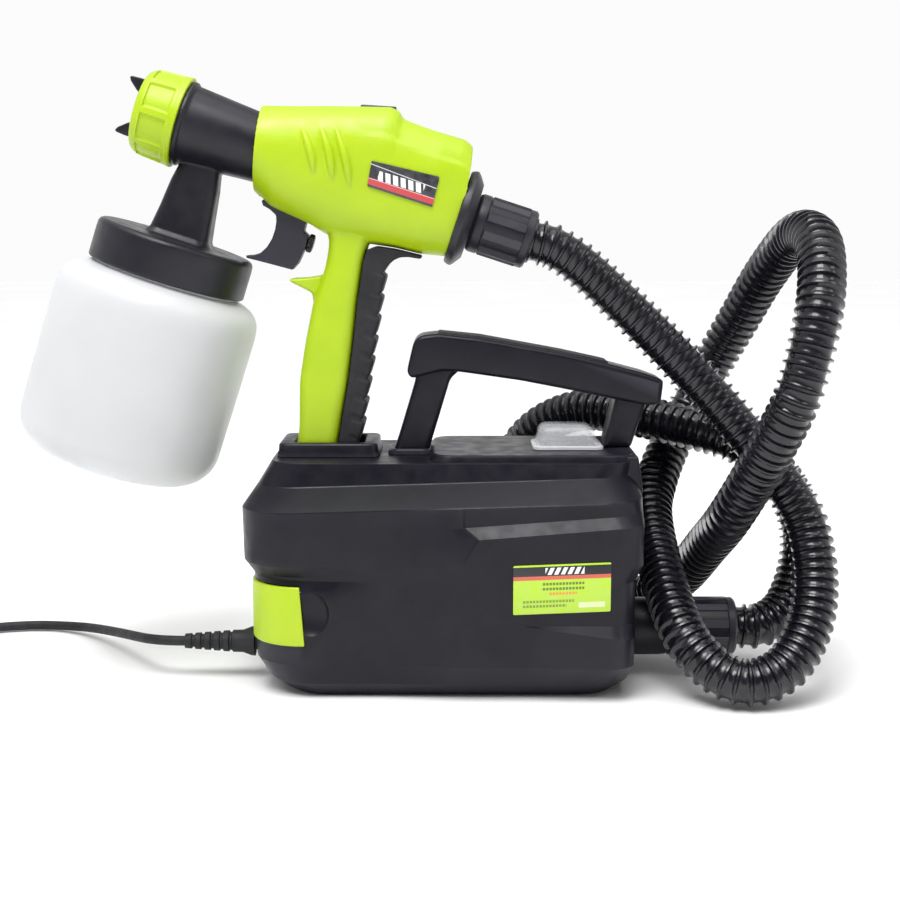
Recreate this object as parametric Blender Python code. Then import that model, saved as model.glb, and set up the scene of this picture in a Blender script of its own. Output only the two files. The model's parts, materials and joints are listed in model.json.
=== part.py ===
"""Turbine paint sprayer: a blower base with a carry handle, a spray gun docked in it, a hose and a cord.

Metres, +Z up. The origin is the middle of the base's underside. The gun points to -X, and the front is -Y.
The gun is modelled level in its own axes, under an empty that tips it nose up.
"""

import math

import bmesh
import bpy
from mathutils import Vector

GAP = 0.0003
ROUND = 20

# Base: rounded sections from the underside up, each (height, left, right, half depth, corner radius, rise).
# The rise tilts a section's right end up, which gives the shoulder its slope.
WALL = 0.0025
BASE_SECTIONS = (
    (0.0000, -0.0820, 0.0940, 0.0500, 0.0220, 0.0),
    (0.0060, -0.0920, 0.1000, 0.0565, 0.0260, 0.0),
    (0.0180, -0.1000, 0.1020, 0.0605, 0.0280, 0.0),
    (0.0640, -0.1010, 0.1025, 0.0615, 0.0280, 0.0),
    (0.0720, -0.1060, 0.1065, 0.0640, 0.0300, 0.0),
    (0.1035, -0.1065, 0.1065, 0.0640, 0.0300, 0.0030),
    (0.1140, -0.0990, 0.1030, 0.0480, 0.0240, 0.0030),
    (0.1240, -0.0910, 0.1045, 0.0410, 0.0180, 0.0),
)
BASE_TOP = 0.1240
DECK_TOP = 0.1275
DECK_LEFT = -0.0045
DECK_RIGHT = 0.1040
SEAM = GAP / 2
SPLIT_Y = 0.0040
MOUNT_R = 0.0345

# Ribs across the housing that cradle the blower: middle and the radius that each one holds
RIB_HALF = 0.0015
RIBS = ((-0.0185, 0.0455), (0.0094, MOUNT_R), (0.0510, MOUNT_R), (0.0682, 0.0078))

# Blower line inside the base
BLOWER_X = 0.0260
BLOWER_Z = 0.0620
SHAFT_R = 0.0030
IMPELLER_R = 0.0410

# Outlet on the right end
OUTLET_Y = -0.0080
OUTLET_Z = 0.0265
SPIGOT_R = 0.0122
SPIGOT_BORE = 0.0098
CUFF_R = 0.0160
CUFF_BORE = 0.0126

# Filter cover on the left end
COVER_RIGHT = -0.0730
COVER_LOW = 0.0295
COVER_HIGH = 0.0613

# Gun: origin on the barrel's axis at its front flange, +X to the rear, +Z up, before it is tipped
GUN_ORIGIN = (-0.1370, 0.0, 0.3020)
GUN_TIP = math.radians(18.0)
BODY_HALF = 0.0240
BADGE_THICK = 0.0004
GRIP_HALF = 0.0150
CUP_AXIS = 0.0125
LID_TOP = -0.0600
LID_BOTTOM = -0.0820
HOSE_LINE = -0.0015
TRIGGER_PIVOT = (0.0640, 0.0120)
HORN_OUTLINE = (
    (-0.0264, 0.0070), (-0.0264, 0.0150), (-0.0300, 0.0152), (-0.0350, 0.0144), (-0.0352, 0.0125),
)
BODY_OUTLINE = (
    (0.0360, 0.0220), (0.0550, 0.0280), (0.0720, 0.0335), (0.0880, 0.0385), (0.1030, 0.0430),
    (0.1075, 0.0415), (0.1105, 0.0383), (0.1260, 0.0378), (0.1455, 0.0386), (0.1500, 0.0355),
    (0.1540, 0.0240), (0.1555, 0.0100), (0.1552, -0.0080), (0.1535, -0.0240), (0.1410, -0.0268),
    (0.1264, -0.0280), (0.0960, -0.0330), (0.0898, -0.0328), (0.0787, -0.0303), (0.0566, -0.0283),
    (0.0500, -0.0245), (0.0450, -0.0204),
)
LIME_SHARE = 0.63

# The grip's foot where it stands in the well, and its lean from upright
DOCK_LEAN = math.radians(9.0)
GRIP_FRONT = -0.0838
GRIP_BACK = -0.0482
GRIP_BOTTOM = 0.1020

# Cords; a stub keeps each end square to the face that it meets
STUB = 0.0015
HOSE_R = 0.0125
CORD_R = 0.00275
GLAND_Y = -0.0180
GLAND_Z = 0.0205
COIL_CENTRE = (-0.3080, 0.0300)
COIL_MIDDLE_R = 0.0300
COIL_HALF = 0.0083
PLUG_X = -0.3380
PLUG_Z = 0.0130
PIN_SPACING = 0.0190
AIR_HOSE_ROUTE = (
    (0.0488, 0.000, 0.2401), (0.0640, 0.000, 0.2350), (0.0885, 0.000, 0.2160), (0.1425, -0.004, 0.1625),
    (0.1890, -0.021, 0.1050), (0.1990, -0.037, 0.0740), (0.1955, -0.055, 0.0440), (0.1800, -0.069, 0.0210),
    (0.1570, -0.073, 0.0136), (0.1370, -0.061, 0.0230), (0.1250, -0.037, 0.0430), (0.1205, 0.022, 0.0790),
    (0.1270, 0.050, 0.1000), (0.1410, 0.068, 0.1270), (0.1580, 0.072, 0.1590), (0.1735, 0.062, 0.1910),
    (0.1860, 0.040, 0.2220), (0.1950, 0.006, 0.2430), (0.1980, -0.030, 0.2390), (0.1940, -0.056, 0.2130),
    (0.1865, -0.065, 0.1800), (0.1780, -0.062, 0.1510), (0.1590, -0.029, 0.0980), (0.1500, 0.005, 0.0700),
    (0.1390, 0.046, 0.0400), (0.1200, 0.084, 0.0200), (0.0880, 0.108, 0.0180), (0.0560, 0.118, 0.0380),
    (0.0420, 0.116, 0.0760), (0.0480, 0.104, 0.1100), (0.0680, 0.088, 0.1310), (0.0960, 0.068, 0.1385),
    (0.1520, 0.028, 0.1310), (0.1780, 0.022, 0.1200), (0.1975, 0.022, 0.1000), (0.2055, 0.018, 0.0760),
    (0.2030, 0.010, 0.0530), (0.1925, -0.002, 0.0345), (0.1780, -0.008, 0.0267), (0.1634, -0.008, 0.0265),
)
POWER_CORD_ROUTE = (
    (-0.1423, -0.0180, 0.0205), (-0.1485, -0.0180, 0.0206), (-0.1565, -0.0166, 0.0206),
    (-0.1635, -0.0124, 0.0201), (-0.1692, -0.0060, 0.0191), (-0.1766, 0.0055, 0.0170),
    (-0.1838, 0.0175, 0.0147), (-0.1912, 0.0300, 0.0122), (-0.1992, 0.0430, 0.0096),
    (-0.2085, 0.0560, 0.0071), (-0.2200, 0.0680, 0.0049), (-0.2345, 0.0765, 0.0034),
    (-0.2505, 0.0790, 0.0031), (-0.2660, 0.0765, 0.0031), (-0.2800, 0.0722, 0.0031),
    (-0.2925, 0.0690, 0.0031),
)
CORD_TAIL_ROUTE = (
    (-0.3380, 0.0024, 0.0030), (-0.3380, -0.0050, 0.0034), (-0.3380, -0.0130, 0.0070),
    (-0.3380, -0.0205, 0.0114), (-0.3380, -0.0265, 0.0129), (-0.3380, -0.0319, 0.0130),
)

# Finishes: colour, roughness, metallic
CHARCOAL = ((0.035, 0.035, 0.043, 1.0), 0.50, 0.0)
BLACK = ((0.014, 0.014, 0.018, 1.0), 0.42, 0.0)
RUBBER = ((0.012, 0.013, 0.016, 1.0), 0.70, 0.0)
LIME = ((0.47, 0.72, 0.01, 1.0), 0.38, 0.0)
MILKY = ((0.86, 0.87, 0.88, 1.0), 0.35, 0.0)
CLEAR = ((0.80, 0.82, 0.84, 1.0), 0.15, 0.0)
STEEL = ((0.55, 0.56, 0.58, 1.0), 0.30, 1.0)
BRASS = ((0.70, 0.50, 0.20, 1.0), 0.30, 1.0)
COPPER = ((0.65, 0.30, 0.15, 1.0), 0.35, 1.0)
FOAM = ((0.10, 0.10, 0.11, 1.0), 0.95, 0.0)
PRINT = ((0.45, 0.62, 0.05, 1.0), 0.40, 0.0)
WHITE = ((0.75, 0.75, 0.73, 1.0), 0.45, 0.0)


# ---------------------------------------------------------------- shapes

def place(axis, along, first, second):
    """Point at a distance along an axis, with the two other coordinates in X, Y, Z order."""
    if axis == "X":
        return Vector((along, first, second))
    if axis == "Y":
        return Vector((first, along, second))
    return Vector((first, second, along))


def turned(profile, axis, centre=(0.0, 0.0), steps=ROUND):
    """Solid of revolution of (along, radius) points: a ring, unless its ends are on the axis."""
    bm = bmesh.new()
    turns = [2 * math.pi * (i + 0.5) / steps for i in range(steps)]
    rings = []
    for along, radius in profile:
        ring = []
        for turn in turns if radius > 0 else turns[:1]:
            first = centre[0] + radius * math.cos(turn)
            second = centre[1] + radius * math.sin(turn)
            ring.append(bm.verts.new(place(axis, along, first, second)))
        rings.append(ring)
    pairs = list(zip(rings, rings[1:]))
    if len(rings[0]) > 1:
        pairs.append((rings[-1], rings[0]))
    for low, high in pairs:
        for i in range(steps):
            j = (i + 1) % steps
            corners = (low[i % len(low)], low[j % len(low)], high[j % len(high)], high[i % len(high)])
            bm.faces.new(list(dict.fromkeys(corners)))
    return bm


def loft(loops):
    """Solid through loops of equal length, closed at both ends."""
    bm = bmesh.new()
    rings = [[bm.verts.new(point) for point in loop] for loop in loops]
    count = len(rings[0])
    for low, high in zip(rings, rings[1:]):
        for i in range(count):
            j = (i + 1) % count
            bm.faces.new((low[i], low[j], high[j], high[i]))
    bm.faces.new(rings[0][::-1])
    bm.faces.new(rings[-1])
    return bm


def prism(outline, axis, start, end):
    """Outline of two coordinates in X, Y, Z order, extruded along an axis."""
    return loft([[place(axis, along, a, b) for a, b in outline] for along in (start, end)])


def block(low, high):
    outline = ((low[0], low[1]), (high[0], low[1]), (high[0], high[1]), (low[0], high[1]))
    return prism(outline, "Z", low[2], high[2])


def rounded(left, right, front, back, radius, steps=4):
    """Rounded rectangle as a list of two coordinates."""
    corners = ((right, back, 0), (left, back, 1), (left, front, 2), (right, front, 3))
    points = []
    for a, b, quarter in corners:
        centre_a = a - math.copysign(radius, a - (left + right) / 2)
        centre_b = b - math.copysign(radius, b - (front + back) / 2)
        for i in range(steps + 1):
            turn = (quarter + i / steps) * math.pi / 2
            points.append((centre_a + radius * math.cos(turn), centre_b + radius * math.sin(turn)))
    return points


def smooth_route(route, spacing):
    """Evenly spaced points on a smooth curve through a route's points."""
    knots = [Vector(point) for point in route]
    knots = [2 * knots[0] - knots[1]] + knots + [2 * knots[-1] - knots[-2]]
    fine = []
    for before, start, end, after in zip(knots, knots[1:], knots[2:], knots[3:]):
        for i in range(16):
            t = i / 16
            leave = (end - before) / 2
            arrive = (after - start) / 2
            point = (2 * t**3 - 3 * t**2 + 1) * start + (t**3 - 2 * t**2 + t) * leave
            point += (3 * t**2 - 2 * t**3) * end + (t**3 - t**2) * arrive
            fine.append(point)
    fine.append(knots[-2])
    lengths = [0.0]
    for a, b in zip(fine, fine[1:]):
        lengths.append(lengths[-1] + (b - a).length)
    count = max(2, round(lengths[-1] / spacing))
    even = []
    k = 0
    for i in range(count + 1):
        target = lengths[-1] * i / count
        while k < len(fine) - 2 and lengths[k + 1] < target:
            k += 1
        share = (target - lengths[k]) / (lengths[k + 1] - lengths[k])
        even.append(fine[k].lerp(fine[k + 1], share))
    first = (knots[2] - knots[1]).normalized()
    last = (knots[-3] - knots[-2]).normalized()
    return [even[0], even[0] + STUB * first] + even[1:-1] + [even[-1] + STUB * last, even[-1]]


# ---------------------------------------------------------------- objects

def clear_scene():
    for obj in list(bpy.data.objects):
        bpy.data.objects.remove(obj)


def finished(obj, finish):
    colour, roughness, metallic = finish
    material = bpy.data.materials.new(obj.name + "_finish")
    material.use_nodes = True
    shader = material.node_tree.nodes["Principled BSDF"]
    shader.inputs["Base Color"].default_value = colour
    shader.inputs["Roughness"].default_value = roughness
    shader.inputs["Metallic"].default_value = metallic
    material.diffuse_color = colour
    obj.data.materials.append(material)


def add(name, bm, finish, parent=None, pivot=(0.0, 0.0, 0.0), smooth=True):
    """Object from a bmesh in its parent's axes, with its origin at the pivot."""
    bmesh.ops.recalc_face_normals(bm, faces=bm.faces)
    bmesh.ops.translate(bm, verts=bm.verts, vec=-Vector(pivot))
    mesh = bpy.data.meshes.new(name)
    bm.to_mesh(mesh)
    bm.free()
    if smooth:
        mesh.shade_smooth()
        mesh.set_sharp_from_angle(angle=math.radians(35))
    obj = bpy.data.objects.new(name, mesh)
    bpy.context.scene.collection.objects.link(obj)
    obj.parent = parent
    obj.location = pivot
    if finish:
        finished(obj, finish)
    return obj


def cutter(name, bm, parent=None):
    obj = add(name, bm, None, parent, smooth=False)
    obj.hide_render = True
    obj.display_type = "WIRE"
    return obj


def combine(obj, other, operation):
    step = obj.modifiers.new(other.name, "BOOLEAN")
    step.operation = operation
    step.object = other
    step.solver = "EXACT"


def cut(obj, *others):
    for other in others:
        combine(obj, other, "DIFFERENCE")


def join(obj, *others):
    for other in others:
        combine(obj, other, "UNION")


def bevel(obj, width, segments=2, angle=50):
    step = obj.modifiers.new("edge", "BEVEL")
    step.width = width
    step.segments = segments
    step.limit_method = "ANGLE"
    step.angle_limit = math.radians(angle)


def tube(name, points, radius, resolution, finish):
    curve = bpy.data.curves.new(name, "CURVE")
    curve.dimensions = "3D"
    curve.bevel_depth = radius
    curve.bevel_resolution = resolution
    curve.use_fill_caps = True
    spline = curve.splines.new("POLY")
    spline.points.add(len(points) - 1)
    for target, point in zip(spline.points, points):
        target.co = (*point, 1.0)
    obj = bpy.data.objects.new(name, curve)
    bpy.context.scene.collection.objects.link(obj)
    finished(obj, finish)
    return obj


# ---------------------------------------------------------------- base housing

def base_loop(section, inset=0.0):
    height, left, right, half, radius, rise = section
    outline = rounded(left + inset, right - inset, -half + inset, half - inset, radius - inset)
    return [Vector((x, y, height + rise * x / 0.1)) for x, y in outline]


def base_cavity():
    """Inner space of the housing, one wall thickness inside its sections."""
    first = (BASE_SECTIONS[0][0] + WALL,) + BASE_SECTIONS[0][1:]
    last = (BASE_TOP - WALL,) + BASE_SECTIONS[-1][1:]
    sections = (first,) + BASE_SECTIONS[1:-1] + (last,)
    return loft([base_loop(section, WALL) for section in sections])


def deck():
    """Raised right part of the top, which starts just behind the front handle post."""
    low = rounded(DECK_LEFT - 0.003, DECK_RIGHT, -0.0400, 0.0400, 0.0120, 3)
    high = rounded(DECK_LEFT, DECK_RIGHT - 0.001, -0.0385, 0.0385, 0.0110, 3)
    return loft([[Vector((x, y, z)) for x, y in loop] for z, loop in ((0.1225, low), (DECK_TOP, high))])


def side_panel(side):
    """Panel that stands out of the front or the back face, with sloping ledges round it."""
    foot = ((-0.0020, 0.0400), (0.0930, 0.0340), (0.0930, 0.0985), (0.0140, 0.0955))
    face = ((0.0190, 0.0440), (0.0890, 0.0420), (0.0890, 0.0925), (0.0190, 0.0895))
    depths = ((0.0560, foot), (0.0668, face))
    return loft([[Vector((x, side * depth, z)) for x, z in outline] for depth, outline in depths])


def cradle(number, middle, radius):
    """Rib across the lower half of the housing, hollowed to the round piece that lies in it."""
    half = [
        (sections[3] - WALL / 2, max(sections[0], WALL / 2))
        for sections in BASE_SECTIONS[:3]
    ]
    half.append((BASE_SECTIONS[3][3] - WALL / 2, BLOWER_Z - 0.004))
    outline = half + [(-y, z) for y, z in half[::-1]]
    rib = cutter(f"cradle_form_{number}", prism(outline, "X", middle - RIB_HALF, middle + RIB_HALF))
    start, end = middle - 2 * RIB_HALF, middle + 2 * RIB_HALF
    profile = ((start, 0), (start, radius + GAP), (end, radius + GAP), (end, 0))
    cut(rib, cutter(f"cradle_hollow_form_{number}", turned(profile, "X", (0.0, BLOWER_Z))))
    return rib


def base_shells():
    cavity = cutter("cavity_form", base_cavity())
    dock_hole = cutter("dock_hole_form", prism(
        rounded(-0.0861, -0.0369, -0.0192, 0.0192, 0.004, 3), "Z", 0.1100, 0.1300))
    switch_hole = cutter("switch_hole_form", block(
        (0.0537, -0.0165, 0.1150), (0.0843, 0.0085, 0.1300)))
    outlet_hole = cutter("outlet_hole_form", turned(
        ((0.0900, 0), (0.0900, 0.0130), (0.1100, 0.0130), (0.1100, 0)), "X", (OUTLET_Y, OUTLET_Z)))
    gland_hole = cutter("gland_hole_form", turned(
        ((-0.1100, 0), (-0.1100, 0.0050), (-0.0900, 0.0050), (-0.0900, 0)), "X", (GLAND_Y, GLAND_Z), 16))
    cover_hole = cutter("cover_hole_form", block(
        (-0.1200, -0.0800, COVER_LOW - GAP), (COVER_RIGHT + GAP, 0.0800, COVER_HIGH + GAP)))
    feet_holes = [
        cutter(f"foot_hole_form_{i}", turned(
            ((-0.0010, 0), (-0.0010, 0.0083), (0.0016, 0.0083), (0.0016, 0)), "Z", (x, y), 16))
        for i, (x, y) in enumerate(foot_places())
    ]
    cradles = [cradle(i, middle, radius) for i, (middle, radius) in enumerate(RIBS)]
    for name, side in (("base_front_shell", -1), ("base_rear_shell", 1)):
        shell = add(name, loft([base_loop(section) for section in BASE_SECTIONS]), CHARCOAL)
        join(shell, cutter(name + "_deck_form", deck()), cutter(name + "_panel_form", side_panel(side)))
        depths = sorted((SPLIT_Y - side * 0.1000, SPLIT_Y + side * SEAM))
        half = cutter(name + "_half_form", block((-0.2, depths[0], -0.1), (0.2, depths[1], 0.3)))
        cut(shell, cavity)
        join(shell, *cradles)
        cut(shell, half, dock_hole, switch_hole, outlet_hole, gland_hole, cover_hole, *feet_holes)
        if side > 0:
            cut(shell, *screw_holes())


def foot_places():
    return [(x, y) for x in (-0.0620, 0.0720) for y in (-0.0340, 0.0340)]


def feet():
    names = ("foot_front_left", "foot_rear_left", "foot_front_right", "foot_rear_right")
    for name, (x, y) in zip(names, foot_places()):
        foot = turned(((0.0, 0), (0.0, 0.0080), (0.0013, 0.0080), (0.0013, 0)), "Z", (x, y), 16)
        add(name, foot, RUBBER)


def screw_places():
    return ((-0.0700, 0.0800), (-0.0600, 0.0200), (0.0780, 0.0250), (0.0100, 0.0830))


def screw_holes():
    return [
        cutter(f"screw_hole_form_{i}", turned(
            ((0.0560, 0), (0.0560, 0.0033), (0.0700, 0.0033), (0.0700, 0)), "Y", place_2d, 12))
        for i, place_2d in enumerate(screw_places())
    ]


def screws():
    """Housing screws, each with its head sunk in the back face."""
    for number, centre in enumerate(screw_places(), 1):
        profile = (
            (0.0440, 0), (0.0440, 0.0015), (0.0590, 0.0015), (0.0590, 0.0030), (0.0608, 0.0026), (0.0608, 0),
        )
        add(f"shell_screw_{number}", turned(profile, "Y", centre, 12), STEEL)


def carry_handle():
    """Arch of two leaning posts and a bar that slopes down to the right."""
    outline = (
        (-0.0268, BASE_TOP + GAP), (-0.0145, 0.1640), (-0.0165, 0.1675), (-0.0190, 0.1735), (-0.0120, 0.1850),
        (-0.0080, 0.1890), (-0.0020, 0.1905), (0.0210, 0.1880), (0.0430, 0.1840), (0.0650, 0.1800),
        (0.0870, 0.1750), (0.1100, 0.1685), (0.1185, 0.1650), (0.1210, 0.1625), (0.1195, 0.1545),
        (0.1170, 0.1525), (0.1115, 0.1515), (0.1040, DECK_TOP + GAP), (0.0885, DECK_TOP + GAP),
        (0.0945, 0.1545),
        (0.0875, 0.1560), (0.0654, 0.1605), (0.0432, 0.1648), (0.0102, 0.1695), (0.0050, 0.1660),
        (-0.0075, BASE_TOP + GAP),
    )
    handle = add("carry_handle", prism(outline, "Y", -0.0140, 0.0140), CHARCOAL)
    bevel(handle, 0.0032, 2, 60)
    pad = (
        (0.0000, 0.1909), (0.0210, 0.1885), (0.0430, 0.1845), (0.0650, 0.1805), (0.0870, 0.1755),
        (0.0900, 0.1748), (0.0903, 0.1760), (0.0870, 0.1772), (0.0650, 0.1822), (0.0430, 0.1862),
        (0.0210, 0.1902), (0.0000, 0.1924),
    )
    add("handle_grip_pad", prism(pad, "Y", -0.0095, 0.0095), RUBBER)


def gun_dock():
    """Well that the gun's grip stands in, with a collar round its mouth."""
    lip = prism(rounded(-0.0885, -0.0345, -0.0225, 0.0225, 0.005, 3), "Z", BASE_TOP + GAP, 0.1314)
    dock = add("gun_dock", lip, CHARCOAL)
    well = prism(rounded(-0.0858, -0.0372, -0.0189, 0.0189, 0.004, 3), "Z", 0.0990, 0.1280)
    join(dock, cutter("dock_well_form", well))
    lean = math.tan(DOCK_LEAN)
    bottom, top = 0.1012, 0.1400
    loops = []
    for z in (bottom, top):
        shift = (z - bottom) * lean
        outline = rounded(GRIP_FRONT - 0.0006 + shift, GRIP_BACK + 0.0006 + shift, -0.0160, 0.0160, 0.0015, 2)
        loops.append([Vector((x, y, z)) for x, y in outline])
    cut(dock, cutter("dock_mouth_form", loft(loops)))


def switch_parts():
    """Rocker switch under a clear dust boot."""
    bezel = add("switch_bezel", prism(
        rounded(0.0500, 0.0880, -0.0200, 0.0120, 0.004, 3), "Z", DECK_TOP + GAP, DECK_TOP + 0.0022), CLEAR)
    cut(bezel, cutter("bezel_hole_form", block((0.0537, -0.0165, 0.1200), (0.0843, 0.0085, 0.1400))))
    housing = add("switch_housing", block((0.0540, -0.0162, 0.1030), (0.0840, 0.0082, 0.1285)), BLACK)
    cut(housing, cutter("rocker_well_form", block((0.0570, -0.0132, 0.1170), (0.0810, 0.0052, 0.1400))))
    rocker = (
        (0.0590, 0.1195), (0.0690, 0.1182), (0.0790, 0.1195), (0.0798, 0.1290), (0.0798, 0.1330),
        (0.0690, 0.1296), (0.0582, 0.1300), (0.0582, 0.1262),
    )
    add("switch_rocker", prism(rocker, "Y", -0.0128, 0.0048), BLACK, pivot=(0.0690, -0.0040, 0.1245))
    loops = [
        [Vector((x, y, z)) for x, y in rounded(0.0517 + s, 0.0863 - s, -0.0183 + s, 0.0103 - s, 0.003, 3)]
        for z, s in ((DECK_TOP + 0.0025, 0.0), (0.1370, 0.0012), (0.1405, 0.0050))
    ]
    boot = add("switch_boot", loft(loops), CLEAR)
    loops = [
        [Vector((x, y, z)) for x, y in rounded(0.0525 + s, 0.0855 - s, -0.0175 + s, 0.0095 - s, 0.003, 3)]
        for z, s in ((DECK_TOP + 0.0010, 0.0), (0.1364, 0.0012), (0.1397, 0.0048))
    ]
    cut(boot, cutter("boot_inside_form", loft(loops)))


def filter_parts():
    """Cover that wraps the left end, and the foam behind it."""
    outer = rounded(-0.1018, 0.1025, -0.0623, 0.0623, 0.0285)
    inner = rounded(-0.1018 + 0.0023, 0.1, -0.0600, 0.0600, 0.0262)
    cover = add("filter_cover", prism(outer, "Z", COVER_LOW, COVER_HIGH), LIME)
    bottom = COVER_LOW - 0.01
    cut(
        cover,
        cutter("cover_inside_form", prism(inner, "Z", bottom, COVER_HIGH + 0.01)),
        cutter("cover_end_form", block((COVER_RIGHT, -0.1, bottom), (0.2, 0.1, COVER_HIGH + 0.01))),
    )
    add("filter_foam", block((-0.0960, -0.0340, 0.0300), (-0.0890, 0.0340, 0.0608)), FOAM)


def outlet_parts():
    """Air outlet: a socket in the right end and the hose cuff that turns on it."""
    socket = (
        (0.0885, SPIGOT_BORE), (0.0885, 0.0150), (0.0960, 0.0150), (0.0960, 0.0126), (0.1032, 0.0126),
        (0.1032, 0.0157), (0.1242, 0.0157), (0.1242, SPIGOT_R), (0.1500, SPIGOT_R), (0.1500, SPIGOT_BORE),
    )
    add("outlet_socket", turned(socket, "X", (OUTLET_Y, OUTLET_Z)), CHARCOAL)
    cuff = (
        (0.1245, CUFF_BORE), (0.1245, 0.0150), (0.1262, CUFF_R - 0.0002), (0.1600, CUFF_R), (0.1630, 0.0146),
        (0.1630, 0.0108), (0.1504, 0.0108), (0.1504, CUFF_BORE),
    )
    add("outlet_cuff", turned(cuff, "X", (OUTLET_Y, OUTLET_Z)), BLACK, pivot=(0.1245, OUTLET_Y, OUTLET_Z))


# ---------------------------------------------------------------- blower inside the base

def blower_ring(name, profile, finish, steps=ROUND):
    """Turned piece of the blower, from (distance behind the bearing wall, radius) points."""
    profile = [(BLOWER_X + along, radius) for along, radius in profile]
    return add(name, turned(profile, "X", (0.0, BLOWER_Z), steps), finish, pivot=(BLOWER_X, 0.0, BLOWER_Z))


def fan_housing():
    blower_ring("fan_cover", (
        (-0.0620, 0.0180), (-0.0620, 0.0455), (-0.0340, 0.0455), (-0.0340, 0.0435), (-0.0600, 0.0435),
        (-0.0600, 0.0180),
    ), BLACK)
    blower_ring("fan_backplate", (
        (-0.0337, 0.0081), (-0.0337, 0.0455), (-0.0317, 0.0455), (-0.0317, 0.0380), (-0.0290, 0.0380),
        (-0.0290, 0.0110), (-0.0216, 0.0110), (-0.0216, 0.0081),
    ), BLACK)


def impeller():
    """Closed wheel: two plates with curved blades between them."""
    wheel = blower_ring("impeller", (
        (-0.0400, SHAFT_R + GAP), (-0.0400, IMPELLER_R), (-0.0388, IMPELLER_R), (-0.0388, 0.0090),
        (-0.0350, 0.0080), (-0.0350, SHAFT_R + GAP),
    ), STEEL)
    rim = ((-0.0560, 0.0170), (-0.0548, 0.0170), (-0.0520, IMPELLER_R), (-0.0532, IMPELLER_R))
    front = turned([(BLOWER_X + along, radius) for along, radius in rim], "X", (0.0, BLOWER_Z))
    plate = cutter("impeller_front_form", front)
    blades = []
    count = 7
    for i in range(count):
        start = 2 * math.pi * i / count
        inner_side, outer_side = [], []
        for k in range(3):
            share = k / 2
            radius = 0.0150 + share * (IMPELLER_R - 0.0020 - 0.0150)
            turn = start - 0.9 * share
            half = 0.0009 / radius
            inner_side.append((radius * math.cos(turn - half), BLOWER_Z + radius * math.sin(turn - half)))
            outer_side.append((radius * math.cos(turn + half), BLOWER_Z + radius * math.sin(turn + half)))
        blade = prism(inner_side + outer_side[::-1], "X", BLOWER_X - 0.0552, BLOWER_X - 0.0392)
        blades.append(cutter(f"blade_form_{i}", blade))
    cone = ((-0.0552, 0), (-0.0552, 0.0170), (-0.0522, 0.0470), (-0.0700, 0.0470))
    trim = cutter("blade_trim_form", turned(
        [(BLOWER_X + along, radius) for along, radius in cone] + [(BLOWER_X - 0.0700, 0)],
        "X", (0.0, BLOWER_Z)))
    for blade in blades:
        cut(blade, trim)
    join(wheel, *blades, plate)


def motor():
    blower_ring("motor_stator", (
        (-0.0200, 0.0190), (-0.0200, 0.0290), (0.0300, 0.0290), (0.0300, 0.0190),
    ), STEEL)
    blower_ring("motor_rotor", (
        (-0.0480, 0), (-0.0480, SHAFT_R), (-0.0130, SHAFT_R), (-0.0130, 0.0180), (0.0210, 0.0180),
        (0.0210, 0.0110), (0.0330, 0.0110), (0.0330, SHAFT_R), (0.0460, SHAFT_R), (0.0460, 0),
    ), COPPER, 24)
    blower_ring("motor_bearing_fan_end", (
        (-0.0276, SHAFT_R + GAP), (-0.0276, 0.0078), (-0.0216, 0.0078), (-0.0216, SHAFT_R + GAP),
    ), STEEL, 20)
    blower_ring("motor_bearing_brush_end", (
        (0.0390, SHAFT_R + GAP), (0.0390, 0.0078), (0.0450, 0.0078), (0.0450, SHAFT_R + GAP),
    ), STEEL, 20)
    blower_ring("motor_mount_fan_end", (
        (-0.0190, 0.0293), (-0.0190, MOUNT_R), (-0.0120, MOUNT_R), (-0.0120, 0.0293),
    ), RUBBER)
    blower_ring("motor_mount_brush_end", (
        (0.0220, 0.0293), (0.0220, MOUNT_R), (0.0290, MOUNT_R), (0.0290, 0.0293),
    ), RUBBER)
    for name, low, high in (("brush_holder_upper", 0.0115, 0.0280), ("brush_holder_lower", -0.0280, -0.0115)):
        corner = (BLOWER_X + 0.0304, -0.0040, BLOWER_Z + low)
        far_corner = (BLOWER_X + 0.0380, 0.0040, BLOWER_Z + high)
        add(name, block(corner, far_corner), BRASS)


def wiring():
    """Terminal block on the floor of the housing, where the mains cord ends."""
    terminal = block((-0.0500, -0.0440, 0.0028), (-0.0250, -0.0300, 0.0140))
    add("terminal_block", terminal, WHITE)


# ---------------------------------------------------------------- label, hose and cords

def base_label():
    outline = ((0.0374, 0.0480), (0.0880, 0.0500), (0.0880, 0.0760), (0.0374, 0.0740))
    add("base_label", prism(outline, "Y", -0.0675, -0.0671), PRINT, smooth=False)


def cords():
    gland = (
        (-0.1420, 0), (-0.1420, 0.0040), (-0.1060, 0.0060), (-0.1030, 0.0060), (-0.1030, 0.0046),
        (-0.0930, 0.0046), (-0.0930, 0.0065), (-0.0905, 0.0065), (-0.0905, 0),
    )
    add("cord_gland", turned(gland, "X", (GLAND_Y, GLAND_Z), 16), RUBBER)
    tube("air_hose", smooth_route(AIR_HOSE_ROUTE, 0.024), HOSE_R, 2, BLACK)
    tube("power_cord", smooth_route(POWER_CORD_ROUTE, 0.013), CORD_R, 2, RUBBER)
    tube("power_cord_tail", smooth_route(CORD_TAIL_ROUTE, 0.007), CORD_R, 2, RUBBER)
    low, high = GAP, 2 * COIL_HALF + GAP
    inner, outer = COIL_MIDDLE_R - COIL_HALF, COIL_MIDDLE_R + COIL_HALF
    edge = 0.0030
    coil = (
        (low, inner + edge), (low, outer - edge), (low + edge, outer), (high - edge, outer),
        (high, outer - edge), (high, inner + edge), (high - edge, inner), (low + edge, inner),
    )
    add("power_cord_coil", turned(coil, "Z", COIL_CENTRE, 28), RUBBER)


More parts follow.
